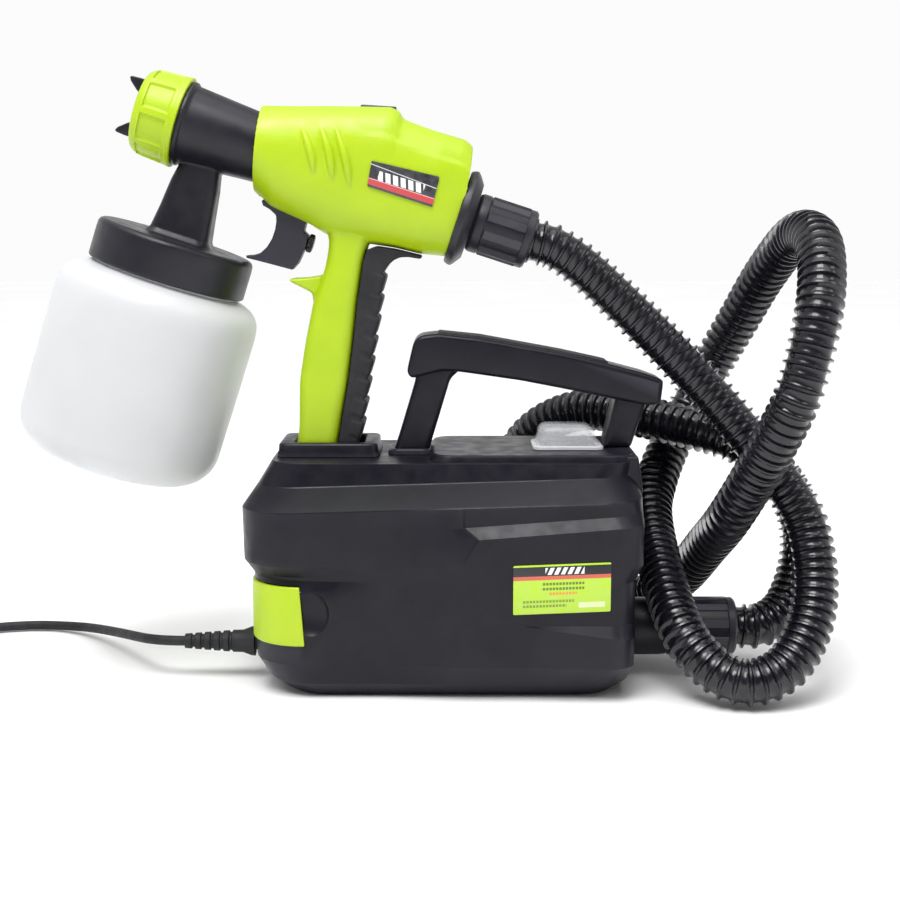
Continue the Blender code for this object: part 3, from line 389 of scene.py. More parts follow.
def piece(name, bm, finish, body, stands_for=(), matrix=HERE, sharp=35, rim=0.0, flat=False):
    """Finished object that rides on a body and replaces CAD nodes."""
    bmesh.ops.recalc_face_normals(bm, faces=bm.faces)
    mesh = bpy.data.meshes.new(name)
    bm.to_mesh(mesh)
    bm.free()
    mesh.shade_smooth()
    mesh.set_sharp_from_angle(angle=math.radians(sharp))
    mesh.materials.append(finish.material)
    obj = in_scene(name, mesh)
    obj.matrix_world = matrix
    if flat:
        even = obj.modifiers.new("even", "WEIGHTED_NORMAL")
        even.keep_sharp = True
        even.weight = 80
    if rim:
        edge = obj.modifiers.new("rim", "BEVEL")
        edge.width = rim
        edge.segments = 3
        edge.limit_method = "ANGLE"
        edge.angle_limit = math.radians(40)
        edge.harden_normals = True
    bpy.context.view_layer.update()
    if body:
        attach(obj, body)
    if stands_for:
        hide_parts(*stands_for)
    return obj


# ---------------------------------------------------------------- materials

def remap(tree, value, low, high, from_low=0.35, from_high=0.65):
    """Value remapped and clamped to a range, whose low end may be another node's output."""
    mapped = tree.nodes.new("ShaderNodeMapRange")
    tree.links.new(value, mapped.inputs["Value"])
    numbers = {"From Min": from_low, "From Max": from_high, "To Min": low, "To Max": high}
    for socket, number in numbers.items():
        if isinstance(number, float):
            mapped.inputs[socket].default_value = number
        else:
            tree.links.new(number, mapped.inputs[socket])
    return mapped.outputs["Result"]


class Finish:
    """Node material built up step by step on one Principled shader."""

    def __init__(self, name, roughness=0.5, metallic=0.0, slot=None, **constants):
        self.slot = slot or name
        self.material = bpy.data.materials.new(name)
        self.material.use_nodes = True
        self.tree = self.material.node_tree
        self.shader = self.tree.nodes["Principled BSDF"]
        self.set("Roughness", roughness)
        self.set("Metallic", metallic)
        for socket, value in constants.items():
            self.set(socket.replace("_", " "), value)
        self.height = None
        self.place = self.node("ShaderNodeTexCoord").outputs["Object"]

    def set(self, socket, value):
        self.shader.inputs[socket].default_value = value

    def node(self, kind, **settings):
        made = self.tree.nodes.new(kind)
        for name, value in settings.items():
            setattr(made, name, value)
        return made

    def link(self, output, socket):
        self.tree.links.new(output, socket)

    def noise(self, scale, detail=4.0, stretch=(1.0, 1.0, 1.0)):
        mapping = self.node("ShaderNodeMapping")
        mapping.inputs["Scale"].default_value = stretch
        self.link(self.place, mapping.inputs["Vector"])
        noise = self.node("ShaderNodeTexNoise")
        noise.inputs["Scale"].default_value = scale
        noise.inputs["Detail"].default_value = detail
        self.link(mapping.outputs["Vector"], noise.inputs["Vector"])
        return noise.outputs["Fac"]

    def ramp(self, value, low, high, *source):
        return remap(self.tree, value, low, high, *source)

    def mix(self, share, first, second):
        """Colour between two colours or colour outputs by a share."""
        mixed = self.node("ShaderNodeMix", data_type="RGBA")
        if isinstance(share, float):
            mixed.inputs["Factor"].default_value = share
        else:
            self.link(share, mixed.inputs["Factor"])
        for socket, colour in (("A", first), ("B", second)):
            target = [each for each in mixed.inputs if each.name == socket and each.type == "RGBA"][0]
            if isinstance(colour, tuple):
                target.default_value = (*colour, 1.0)
            else:
                self.link(colour, target)
        return [each for each in mixed.outputs if each.type == "RGBA"][0]

    def mottled(self, scale, detail, dark, light):
        """Colour that drifts between two shades."""
        return self.mix(self.ramp(self.noise(scale, detail), 0.0, 1.0), dark, light)

    def colour(self, output):
        self.link(output, self.shader.inputs["Base Color"])

    def rough(self, output):
        self.link(output, self.shader.inputs["Roughness"])

    def bump(self, value, distance, strength=1.0):
        bump = self.node("ShaderNodeBump")
        bump.inputs["Distance"].default_value = distance
        bump.inputs["Strength"].default_value = strength
        self.link(value, bump.inputs["Height"])
        if self.height:
            self.link(self.height, bump.inputs["Normal"])
        self.height = bump.outputs["Normal"]
        self.link(self.height, self.shader.inputs["Normal"])

    def painted_edge_highlight(self, low=0.52, high=0.6):
        """Share that rises on convex edges, where a paler colour is painted on as a highlight."""
        pointed = self.node("ShaderNodeNewGeometry").outputs["Pointiness"]
        return self.ramp(pointed, 0.0, 1.0, low, high)


def plastic(name, dark, light, edge_highlight_colour, roughness, grain, grain_depth, **settings):
    """Moulded plastic: spark-eroded grain, faint mottling, uneven sheen and a painted highlight that makes convex
    edges paler.
    """
    finish = Finish(name, roughness, **settings)
    base = finish.mottled(38.0, 6.0, dark, light)
    # convex edges get a paler colour painted on as a highlight
    finish.colour(finish.mix(finish.painted_edge_highlight(), base, edge_highlight_colour))
    finish.rough(finish.ramp(finish.noise(120.0), roughness - 0.06, roughness + 0.07))
    finish.bump(finish.noise(grain, 2.0), grain_depth)
    return finish


def rubber(name, dark, light):
    finish = Finish(name, 0.62, Specular_IOR_Level=0.4)
    finish.colour(finish.mottled(60.0, 6.0, dark, light))
    finish.rough(finish.ramp(finish.noise(200.0), 0.55, 0.72))
    finish.bump(finish.noise(2600.0, 2.0), 0.00006)
    return finish


def metal(name, dark, light, roughness, stretch):
    """Machined metal with fine tool marks across it."""
    finish = Finish(name, roughness, 1.0)
    marks = finish.noise(900.0, 3.0, stretch)
    finish.colour(finish.mix(finish.ramp(marks, 0.0, 1.0), dark, light))
    finish.rough(finish.ramp(marks, roughness - 0.08, roughness + 0.12))
    finish.bump(marks, 0.00003)
    return finish


def milky():
    """Translucent polyethylene: light spreads inside the wall, with soft flow marks."""
    finish = Finish("milky_plastic", 0.34, Subsurface_Weight=0.45, Subsurface_Scale=0.02, IOR=1.5)
    finish.set("Subsurface Radius", (1.0, 1.0, 1.05))
    finish.colour(finish.mottled(16.0, 3.0, (0.66, 0.67, 0.7), (0.72, 0.73, 0.76)))
    finish.rough(finish.ramp(finish.noise(70.0), 0.28, 0.4))
    finish.bump(finish.noise(500.0, 2.0, (1.0, 1.0, 0.3)), 0.00003)
    return finish


def clear(name, alpha):
    """Frosted clear moulding."""
    finish = Finish(name, 0.12, slot="clear_plastic", IOR=1.45, Alpha=alpha, Specular_IOR_Level=0.9)
    finish.colour(finish.mottled(90.0, 4.0, (0.7, 0.71, 0.74), (0.8, 0.81, 0.84)))
    finish.rough(finish.ramp(finish.noise(300.0), 0.12, 0.26))
    finish.bump(finish.noise(700.0, 2.0), 0.00001)
    return finish


def hose_plastic():
    finish = Finish("hose_plastic", 0.26, Coat_Weight=0.3, Coat_Roughness=0.12, Specular_IOR_Level=0.4)
    finish.colour(finish.mottled(45.0, 5.0, (0.005, 0.0048, 0.008), (0.01, 0.0096, 0.015)))
    finish.rough(finish.ramp(finish.noise(160.0), 0.16, 0.3))
    finish.bump(finish.noise(1200.0, 2.0), 0.00004)
    return finish


def foam():
    finish = Finish("filter_foam", 0.95)
    cells = finish.node("ShaderNodeTexVoronoi")
    cells.inputs["Scale"].default_value = 700.0
    finish.link(finish.place, cells.inputs["Vector"])
    pore = finish.ramp(cells.outputs["Distance"], 0.0, 1.0, 0.1, 0.7)
    finish.colour(finish.mix(pore, (0.015, 0.015, 0.017), (0.06, 0.06, 0.065)))
    finish.bump(pore, 0.0006)
    return finish


def laminations():
    finish = Finish("lamination_steel", 0.4, 1.0)
    sheets = finish.node("ShaderNodeTexWave", bands_direction="X")
    sheets.inputs["Scale"].default_value = 320.0
    finish.link(finish.place, sheets.inputs["Vector"])
    finish.colour(finish.mix(sheets.outputs["Fac"], (0.22, 0.22, 0.23), (0.45, 0.45, 0.46)))
    finish.bump(sheets.outputs["Fac"], 0.00008)
    return finish


def windings():
    finish = Finish("winding_copper", 0.35, 0.9)
    wire = finish.node("ShaderNodeTexWave", bands_direction="X")
    wire.inputs["Scale"].default_value = 500.0
    wire.inputs["Distortion"].default_value = 2.0
    finish.link(finish.place, wire.inputs["Vector"])
    finish.colour(finish.mix(wire.outputs["Fac"], (0.3, 0.1, 0.04), (0.62, 0.28, 0.14)))
    finish.bump(wire.outputs["Fac"], 0.0002)
    return finish


class Print(Finish):
    """Printed sticker: flat shapes of colour laid over each other, placed in the sticker's own plane."""

    def __init__(self, name, ground):
        super().__init__(name, 0.34, slot="printed_label", Coat_Weight=0.3, Coat_Roughness=0.15)
        split = self.node("ShaderNodeSeparateXYZ")
        self.link(self.place, split.inputs["Vector"])
        self.across, self.up = split.outputs["X"], split.outputs["Z"]
        fade = self.ramp(self.noise(260.0, 4.0), 0.0, 0.1)
        self.ink = self.mix(fade, ground, (0.5, 0.5, 0.5))
        self.rough(self.ramp(self.noise(400.0), 0.28, 0.42))
        self.bump(self.noise(1800.0, 2.0), 0.00001)

    def math(self, operation, first, second):
        step = self.node("ShaderNodeMath", operation=operation)
        for socket, value in zip(step.inputs, (first, second)):
            if isinstance(value, float):
                socket.default_value = value
            else:
                self.link(value, socket)
        return step.outputs["Value"]

    def slanted(self, slope):
        """Height of a point above a line with this slope through the sticker's origin."""
        return self.math("SUBTRACT", self.up, self.math("MULTIPLY", self.across, slope))

    def between(self, value, low, high):
        return self.math(
            "MULTIPLY", self.math("GREATER_THAN", value, low), self.math("LESS_THAN", value, high))

    def dashes(self, pitch, share, lean=0.0):
        """Repeating upright bars."""
        shifted = self.math("SUBTRACT", self.across, self.math("MULTIPLY", self.up, lean))
        return self.math("LESS_THAN", self.math("FRACT", self.math("DIVIDE", shifted, pitch), 0.0), share)

    def lay(self, colour, level, low, high, sides=None, bars=None):
        """Band of ink between two levels, cut off at two sides and into bars if they are given."""
        share = self.between(level, low, high)
        if sides:
            share = self.math("MULTIPLY", share, self.between(self.across, *sides))
        if bars:
            share = self.math("MULTIPLY", share, bars)
        self.ink = self.mix(share, self.ink, colour)
        self.colour(self.ink)


def rating_print():
    """Plain stand-in for the rating label: bands, a row of bars for a mark and dashes for lines of text."""
    dark_green, pale_green = (0.12, 0.2, 0.01), (0.2, 0.32, 0.02)
    label = Print("rating_print", (0.45, 0.7, 0.02))
    level = label.slanted(0.0396)
    label.lay((0.016, 0.016, 0.02), level, 0.0666, 0.0716)
    label.lay((0.6, 0.12, 0.07), level, 0.0645, 0.0666)
    label.lay((0.85, 0.85, 0.85), level, 0.0672, 0.0709, (0.054, 0.0742), label.dashes(0.0034, 0.62, 0.45))
    for low, left, right, ink in (
            (0.0616, 0.0522, 0.0742, dark_green), (0.059, 0.0522, 0.0742, dark_green),
            (0.0564, 0.056, 0.0705, (0.75, 0.28, 0.04)), (0.0524, 0.0425, 0.069, pale_green),
            (0.05, 0.0425, 0.065, pale_green)):
        label.lay(ink, level, low, low + 0.0014, (left, right), label.dashes(0.0017, 0.76))
    label.lay((0.72, 0.82, 0.45), level, 0.0492, 0.052, (0.0715, 0.085))
    return label


def badge_print():
    """Plain stand-in for the side badge: black field, slanted bars for a mark, a rule and a red band."""
    badge = Print("badge_print", (0.02, 0.02, 0.026))
    top = badge.slanted(0.025)
    foot = badge.slanted(0.006)
    badge.lay((0.55, 0.05, 0.06), foot, -0.0008, 0.0022)
    badge.lay((0.8, 0.45, 0.45), foot, 0.0022, 0.0026)
    badge.lay((0.62, 0.63, 0.66), badge.slanted(-0.045), 0.0147, 0.0151)
    badge.lay((0.85, 0.85, 0.87), top, 0.0006, 0.0054, (0.1075, 0.1325), badge.dashes(0.0042, 0.66, -0.35))
    return badge


# each plastic's third colour is the painted highlight on its convex edges
charcoal = plastic(
    "charcoal_shell", (0.0056, 0.0051, 0.0098), (0.008, 0.0074, 0.013), (0.032, 0.031, 0.044),
    0.36, 1500.0, 0.00003, Specular_IOR_Level=0.27)
black = plastic(
    "black_plastic", (0.0085, 0.008, 0.013), (0.012, 0.0115, 0.0175), (0.04, 0.04, 0.05),
    0.36, 1700.0, 0.00003, Specular_IOR_Level=0.36)
lime = plastic(
    "lime_plastic", (0.39, 0.56, 0.003), (0.43, 0.6, 0.004), (0.52, 0.69, 0.035),
    0.4, 1300.0, 0.00004, Subsurface_Weight=0.08, Subsurface_Scale=0.004)
white = plastic(
    "white_plastic", (0.62, 0.62, 0.6), (0.72, 0.72, 0.7), (0.8, 0.8, 0.8), 0.45, 1500.0, 0.00004)
navy = plastic(
    "trigger_plastic", (0.016, 0.015, 0.026), (0.022, 0.02, 0.034), (0.055, 0.052, 0.075),
    0.44, 1700.0, 0.00005, slot="black_plastic")
soft = rubber("black_rubber", (0.01, 0.01, 0.013), (0.017, 0.017, 0.021))
steel = metal("steel", (0.4, 0.41, 0.43), (0.62, 0.63, 0.65), 0.3, (1.0, 6.0, 6.0))
brass = metal("brass", (0.5, 0.33, 0.1), (0.72, 0.52, 0.22), 0.28, (8.0, 1.0, 1.0))
cup_plastic = milky()
clear_plastic = clear("clear_plastic", 0.3)
frosted_plastic = clear("frosted_plastic", 0.72)
hose_finish = hose_plastic()
foam_finish = foam()
SLOTS = {finish.slot: finish for finish in (
    charcoal, black, soft, lime, cup_plastic, clear_plastic, steel, brass, laminations(), windings(),
    foam_finish, white, hose_finish)}
SLOTS["printed_label"] = white


def finish_cad_nodes():
    """Every CAD node gets the finish of its slot in the record."""
    for entry in frame["record"]["subparts"]:
        obj = frame["nodes"][entry["node"]]
        obj.data.materials.clear()
        obj.data.materials.append(SLOTS[entry["material_slot"]].material)


# ---------------------------------------------------------------- camera, floor and light

def add_camera():
    data = bpy.data.cameras.new("camera")
    data.lens = 60.0
    data.sensor_width = 36.0
    data.clip_start = 0.01
    camera = in_scene("camera", data)
    camera.location = (0.0046, -0.825, 0.2485)
    camera.rotation_euler = (math.radians(90 - 8.53), 0.0, 0.0)
    bpy.context.scene.camera = camera


def add_floor():
    mesh = bpy.data.meshes.new("floor")
    signs = ((-1, -1), (1, -1), (1, 1), (-1, 1))
    mesh.from_pydata([(x * FLOOR_SIZE, y * FLOOR_SIZE, -0.0004) for x, y in signs], [], [(0, 1, 2, 3)])
    finish = Finish("floor", 0.85, Specular_IOR_Level=0.1)
    finish.colour(finish.mottled(3.0, 4.0, (0.93, 0.93, 0.93), (0.95, 0.95, 0.95)))
    mesh.materials.append(finish.material)
    in_scene("floor", mesh)


def add_surroundings():
    """White all round, dimmer overhead and, above the horizon, towards the front, so that creases show."""
    world = bpy.data.worlds.new("studio")
    bpy.context.scene.world = world
    world.use_nodes = True
    tree = world.node_tree
    split = tree.nodes.new("ShaderNodeSeparateXYZ")
    tree.links.new(tree.nodes.new("ShaderNodeTexCoord").outputs["Generated"], split.inputs["Vector"])
    overhead = remap(tree, split.outputs["Z"], 0.97, 0.62, 0.15, 0.45)
    frontal = remap(tree, split.outputs["Z"], 1.0, 0.2, 0.03, 0.2)
    front = remap(tree, split.outputs["Y"], frontal, 1.0, -0.85, -0.15)
    both = tree.nodes.new("ShaderNodeMath")
    both.operation = "MULTIPLY"
    tree.links.new(overhead, both.inputs[0])
    tree.links.new(front, both.inputs[1])
    background = tree.nodes["Background"]
    background.inputs["Color"].default_value = (1.0, 1.0, 1.0, 1.0)
    tree.links.new(both.outputs["Value"], background.inputs["Strength"])


def add_light(name, kind, energy, **settings):
    data = bpy.data.lights.new(name, kind)
    data.energy = energy
    for setting, value in settings.items():
        setattr(data, setting, value)
    return in_scene(name, data)


def add_lights():
    """Broad soft light from above, a soft box over the front and a weak fill from the right."""
    add_light("sky", "SUN", 1.6, angle=1.2).rotation_euler = (math.radians(9), math.radians(-6), 0.0)
    areas = (("key", (-0.25, -0.75, 1.55), 0.8, 19.0), ("fill", (1.3, -0.6, 1.3), 0.5, 2.5))
    for name, spot, size, power in areas:
        light = add_light(name, "AREA", power, shape="SQUARE", size=size)
        light.location = spot
        light.rotation_euler = (Vector(LIT_SPOT) - Vector(spot)).to_track_quat("-Z", "Y").to_euler()


def stage():
    bpy.context.scene.view_settings.view_transform = "Standard"
    add_camera()
    add_floor()
    add_surroundings()
    add_lights()


# ---------------------------------------------------------------- cords

def frames_along(points):
    """Position, normal and binormal at each point, turned along with the curve without twisting."""
    befores = points[:1] + points[:-1]
    afters = points[1:] + points[-1:]
    tangents = [(after - before).normalized() for before, after in zip(befores, afters)]
    normal = tangents[0].orthogonal().normalized()
    placed = []
    for point, tangent in zip(points, tangents):
        normal = (normal - tangent * normal.dot(tangent)).normalized()
        placed.append((point, normal, tangent.cross(normal)))
    return placed


def air_hose():
    """Corrugated hose: thin ribs round a narrower tube."""
    ridge = ((0.0, 0.0), (0.16, 0.0), (0.28, -0.0018), (0.46, -0.0021), (0.7, -0.0021), (0.88, -0.0018))
    rough_points = smooth_route(AIR_HOSE_ROUTE, 0.0015)
    length = route_length(rough_points)
    ribs = round(length / HOSE_PITCH)
    pitch = length / ribs
    along = [i * length / (len(rough_points) - 1) for i in range(len(rough_points))]
    xyz = np.array([tuple(p) for p in rough_points])
    stations, offsets = [], []
    for i in range(ribs):
        for share, offset in ridge:
            stations.append((i + share) * pitch)
            offsets.append(offset)
    stations.append(length)
    offsets.append(0.0)
    points = [Vector([float(np.interp(s, along, xyz[:, k])) for k in range(3)]) for s in stations]
    bm = bmesh.new()
    rings = []
    sides = 32
    for (point, normal, binormal), offset in zip(frames_along(points), offsets):
        radius = HOSE_R + offset
        rings.append([
            bm.verts.new(point + radius * (math.cos(t) * normal + math.sin(t) * binormal))
            for t in (2 * math.pi * i / sides for i in range(sides))
        ])
    bridge(bm, rings)
    bm.faces.new(rings[0][::-1])
    bm.faces.new(rings[-1])
    hose = piece("corrugated_air_hose", bm, hose_finish, None, ["air_hose"], sharp=50)
    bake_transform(hose)
    return hose


def coil_points():
    """Turns of the stored cord in three levels, the last quarter turn climbing to pass over the others."""
    rows = ((1, 0), (0, 0), (-1, 0), (-1, 1), (0, 1), (1, 1), (1, 2), (0, 2), (-1, 2))
    steps = 24
    points = []
    for i in range(round(8.25 * steps) + 1):
        progress = i / steps
        row = int(progress)
        here, after = rows[row], rows[min(row + 1, len(rows) - 1)]
        change = max(0.0, (progress - row - 0.6) / 0.4)
        change = change * change * (3 - 2 * change)
        climb = max(0.0, (progress - 7.9) / 0.35) * 0.85
        radius = COIL_R + COIL_PITCH * (here[0] + change * (after[0] - here[0]))
        height = CORD_R + 0.0003 + COIL_PITCH * (here[1] + change * (after[1] - here[1]) + climb)
        turn = math.pi / 2 + 2 * math.pi * progress
        points.append(Vector((
            COIL_CENTRE[0] + radius * math.cos(turn), COIL_CENTRE[1] + radius * math.sin(turn), height)))
    return points


def mains_cord():
    """Two-core lead: out of the base, down to the floor, round the coil and back up to the plug."""
    into_ring = Vector((COIL_CENTRE[0], COIL_CENTRE[1] + COIL_R + COIL_PITCH, CORD_R + 0.0003))
    route = smooth_route(POWER_CORD_ROUTE + [tuple(into_ring)], 0.004)[:-1]
    tail = smooth_route(CORD_TAIL_ROUTE, 0.004)
    points = route + coil_points() + tail
    curve = bpy.data.curves.new("mains_cord", "CURVE")
    curve.dimensions = "3D"
    curve.bevel_depth = CORD_R
    curve.bevel_resolution = 5
    curve.use_fill_caps = True
    spline = curve.splines.new("POLY")
    spline.points.add(len(points) - 1)
    for knot, point in zip(spline.points, points):
        knot.co = (*point, 1.0)
    curve.materials.append(soft.material)
    cord = in_scene("mains_cord", curve)
    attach(cord, "base")
    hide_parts("power_cord", "power_cord_coil", "power_cord_tail")
    gland = cord_gland()
    plug = mains_plug()


def cord_gland():
    """Tapered strain relief with cut rings."""
    profile = [(-0.142, 0.0029), (-0.142, 0.004)]
    rings = 5
    for i in range(rings):
        x = -0.1385 + i * 0.0052
        radius = 0.0043 + 0.0004 * i
        profile += [
            (x, radius), (x + 0.0006, radius - 0.0009), (x + 0.0016, radius - 0.0009),
            (x + 0.0022, radius + 0.0002)]
    profile += mm(
        (-110, 6.2), (-105.2, 8), (-103.2, 8.2), (-103, 4.6), (-93, 4.6), (-93, 6.5), (-90.5, 6.5),
        (-90.5, 2.9))
    bm = turned(profile, "X", (GLAND_Y, GLAND_Z), 48)
    return piece("cord_strain_relief", bm, soft, "base", ["cord_gland"])


def mains_plug():
    """Moulded two-pin plug with finger grooves round its sides."""
    centre = (PLUG_X, PLUG_Z)
    body = [(-0.0323, 0.0029), (-0.0323, 0.004)]
    for i in range(4):
        y = -0.0345 - i * 0.0032
        radius = 0.0043 + 0.0006 * i
        body += [
            (y, radius), (y - 0.0006, radius - 0.0008), (y - 0.0014, radius - 0.0008),
            (y - 0.002, radius + 0.0002)]
    body += mm((-48.5, 7.5), (-52, 10), (-57.5, 12), (-62, 12.5))
    for i in range(4):
        y = -0.0645 - i * 0.0028
        body += [(y, 0.0125), (y - 0.0004, 0.0118), (y - 0.0012, 0.0118), (y - 0.0016, 0.0125)]
    body += mm((-76.5, 12.4), (-77.8, 11.2), (-78, 10), (-78, 0), (-70, 0), (-40, 0))
    plug = piece("mains_plug_body", turned(body, "Y", centre, 48), soft, "base", ["mains_plug"])
    pin = mm((-70, 0), (-70, 2), (-94.5, 2), (-95.7, 1.4), (-96, 0.7), (-96, 0))
    pins = merged(*[
        turned(pin, "Y", (PLUG_X + side * PIN_SPACING / 2, PLUG_Z), 24) for side in (-1, 1)])
    piece("mains_plug_pins", pins, steel, "base")
    return plug


# ---------------------------------------------------------------- base

def base_ring(section, inset_by=0.0):
    """One plain section of the housing."""
    height, left, right, half, radius, rise = section
    reach = half - inset_by
    loop = rounded(left + inset_by, right - inset_by, -reach, reach, radius - inset_by, 12)
    return [Vector((x, y, height + rise * x / 0.1)) for x, y in loop]


def plain_section(height):
    """Left, right, half depth, corner radius and rise of the plain housing at a height."""
    heights = [section[0] for section in BASE_SECTIONS]
    return [float(np.interp(height, heights, [section[k] for section in BASE_SECTIONS])) for k in range(1, 6)]


def waist_recess(x, z):
    """How far the face is drawn in below the overhang on the left; it fades out to the right."""
    across = max(0.0, min(1.0, -(x + 0.025) / 0.05))
    return 0.0034 * across * across * (3 - 2 * across) * math.exp(-((z - 0.0655) / 0.006) ** 2)


def housing_ring(height, faces=None, corner=None, slope=0.0, slope_from=0.0, wedge=0.0, slant=0.0):
    """Loop round the housing; faces are the panel's depths just left and right of where its ledge starts."""
    left, right, half, radius, rise = plain_section(height)
    begin = LEDGE_LEFT + slant
    stations, depths = (PANEL_START, begin - LEDGE_STEP, begin), (half, *(faces or (half, half)))
    corner = corner or radius
    columns = [x + slant * max(0.0, 1 - abs(x - LEDGE_LEFT) / 0.04) for x in COLUMNS]
    points = []
    for quarter, (a, b, turn_in) in enumerate((
            (right, half, corner), (left, half, radius), (left, -half, radius), (right, -half, corner))):
        centre_x, centre_y = a - math.copysign(turn_in, a), b - math.copysign(turn_in, b)
        for i in range(17):
            turn = (quarter + i / 16) * math.pi / 2
            points.append((centre_x + turn_in * math.cos(turn), centre_y + turn_in * math.sin(turn)))
        if quarter == 0:
            points += [(x, half) for x in columns[::-1]]
        if quarter == 2:
            points += [(x, -half) for x in columns]
    loop = []
    for x, y in points:
        z = height + rise * x / 0.1 + slope * max(0.0, x - slope_from)
        out = float(np.interp(x, stations, depths)) - half
        out += wedge * max(0.0, min(1.0, (x - WEDGE_LEFT) / 0.051))
        if abs(y) > 0.03:
            out -= waist_recess(x, z)
        loop.append(Vector((x, y + out * math.copysign(1.0, y), z)))
    return loop


def base_outside():
    """Housing: overhang on the left; label panel with a ledge above and a wedge below on the right."""
    flat = (PANEL_DEPTH - 0.0002, PANEL_DEPTH)
    rings = [
        housing_ring(0.0),
        housing_ring(0.003, (0.0545, 0.0545)),
        housing_ring(0.008, (0.059, 0.059), 0.02, wedge=0.001),
        housing_ring(0.019, (0.0652, 0.0652), FACE_CORNER, wedge=0.0034),
        housing_ring(0.0414, flat, FACE_CORNER, -0.1216, WEDGE_LEFT, 0.0044),
        housing_ring(0.0418, flat, FACE_CORNER),
    ]
    for height in (0.048, 0.054, 0.059, 0.062, 0.064, 0.066, 0.069, 0.0712, 0.072, 0.0728, 0.076):
        rings.append(housing_ring(height, flat, FACE_CORNER))
    rings += [
        housing_ring(0.0868, (0.0656, PANEL_DEPTH), FACE_CORNER, 0.0647, LEDGE_LEFT, slant=LEDGE_SLANT),
        housing_ring(0.0928, (0.0637, 0.0618), 0.017, 0.0527, LEDGE_LEFT),
        housing_ring(0.103, (0.0636, 0.0635), 0.022), housing_ring(0.1036, (0.0632, 0.0631), 0.022),
        housing_ring(0.1138), housing_ring(0.1143), housing_ring(0.1234), housing_ring(BASE_TOP),
    ]
    return loft(rings)


def deck():
    """Raised right part of the top."""
    levels = mm(
        (122.5, -7.5, 104, -40, 40, 12), (126.2, -5.3, 103.4, -38.9, 38.9, 11.2),
        (127.1, -4.7, 103, -38.4, 38.4, 10.8), (127.5, -3.8, 102.2, -37.6, 37.6, 10))
    return stacked(levels)


def buttress():
    """Foot of the rear handle post, which runs down over the housing's right shoulder."""
    outline = mm((97.2, 126.8), (105, 126.8), (107.8, 108.5), (106.2, 102), (97.5, 102))
    return cushion(outline, "Y", 0.0, 0.037, 0.002, reach=0.0015, corner_steps=2)


def hollow(centre, radii, steps=24):
    """Ellipsoid used to scoop out a finger recess."""
    bm = bmesh.new()
    bmesh.ops.create_uvsphere(bm, u_segments=2 * steps, v_segments=steps, radius=1.0)
    for vertex in bm.verts:
        vertex.co = Vector([c + r * v for c, r, v in zip(centre, radii, vertex.co)])
    return bm


def cradle(middle, radius):
    """Rib across the lower half of the housing, hollowed to the round piece that lies in it."""
    half = [(section[3] - WALL / 2, max(section[0], WALL / 2)) for section in BASE_SECTIONS[:3]]
    half.append((BASE_SECTIONS[3][3] - WALL / 2, BLOWER_Z - 0.004))
    outline = half + [(-y, z) for y, z in half[::-1]]
    rib = loft([[Vector((x, y, z)) for y, z in outline] for x in (middle - RIB_HALF, middle + RIB_HALF)])
    start, end = middle - 2 * RIB_HALF, middle + 2 * RIB_HALF
    profile = ((start, 0.0), (start, radius + GAP), (end, radius + GAP), (end, 0.0))
    return combined(rib, cuts=[turned(profile, "X", (0.0, BLOWER_Z), 48)])


def base_halves():
    first = (BASE_SECTIONS[0][0] + WALL,) + BASE_SECTIONS[0][1:]
    last = (BASE_TOP - WALL,) + BASE_SECTIONS[-1][1:]
    inside = [base_ring(section, THICK_WALL) for section in (first, *BASE_SECTIONS[1:-1], last)]
    holes = [
        cushion(rounded(-0.0861, -0.0369, -0.0192, 0.0192, 0.004, 4), "Z", 0.12, 0.01, 0.0001, 1),
        block((0.0537, -0.0165, 0.115), (0.0843, 0.0085, 0.13)),
        rod(0.09, 0.11, 0.013, "X", (OUTLET_Y, OUTLET_Z)),
        rod(-0.11, -0.09, 0.005, "X", (GLAND_Y, GLAND_Z)),
        cover_space((-0.12, COVER_RIGHT + GAP), COVER_LOW - GAP, COVER_HIGH + GAP),
        hollow((-0.0685, -0.0632, 0.0467), (0.0105, 0.0056, 0.013)),
        hollow((-0.0685, 0.0632, 0.0467), (0.0105, 0.0056, 0.013)),
    ]
    holes += [
        rod(-0.001, 0.0016, 0.0083, "Z", foot, 32)
        for foot in FEET
    ]
    holes += [
        rod(0.056, 0.07, 0.0033, "Y", screw, 24)
        for screw in SCREWS
    ]
    whole = combined(
        base_outside(),
        joins=[deck(), buttress()], cuts=[loft(inside)])
    whole = combined(whole, joins=[cradle(middle, radius) for middle, radius in RIBS], cuts=holes)
    mesh = bpy.data.meshes.new("housing")
    whole.to_mesh(mesh)
    whole.free()
    for name, node, low, high in (
            ("housing_front", "base_front_shell", -0.2, SPLIT_Y - GAP / 2),
            ("housing_rear", "base_rear_shell", SPLIT_Y + GAP / 2, 0.2)):
        half = bmesh.new()
        half.from_mesh(mesh)
        half = combined(half, cuts=[
            block((-0.3, -0.3 if low > -0.1 else high, -0.1), (0.3, low if low > -0.1 else 0.3, 0.3))])
        piece(name, half, charcoal, "base", [node], sharp=14, flat=True)


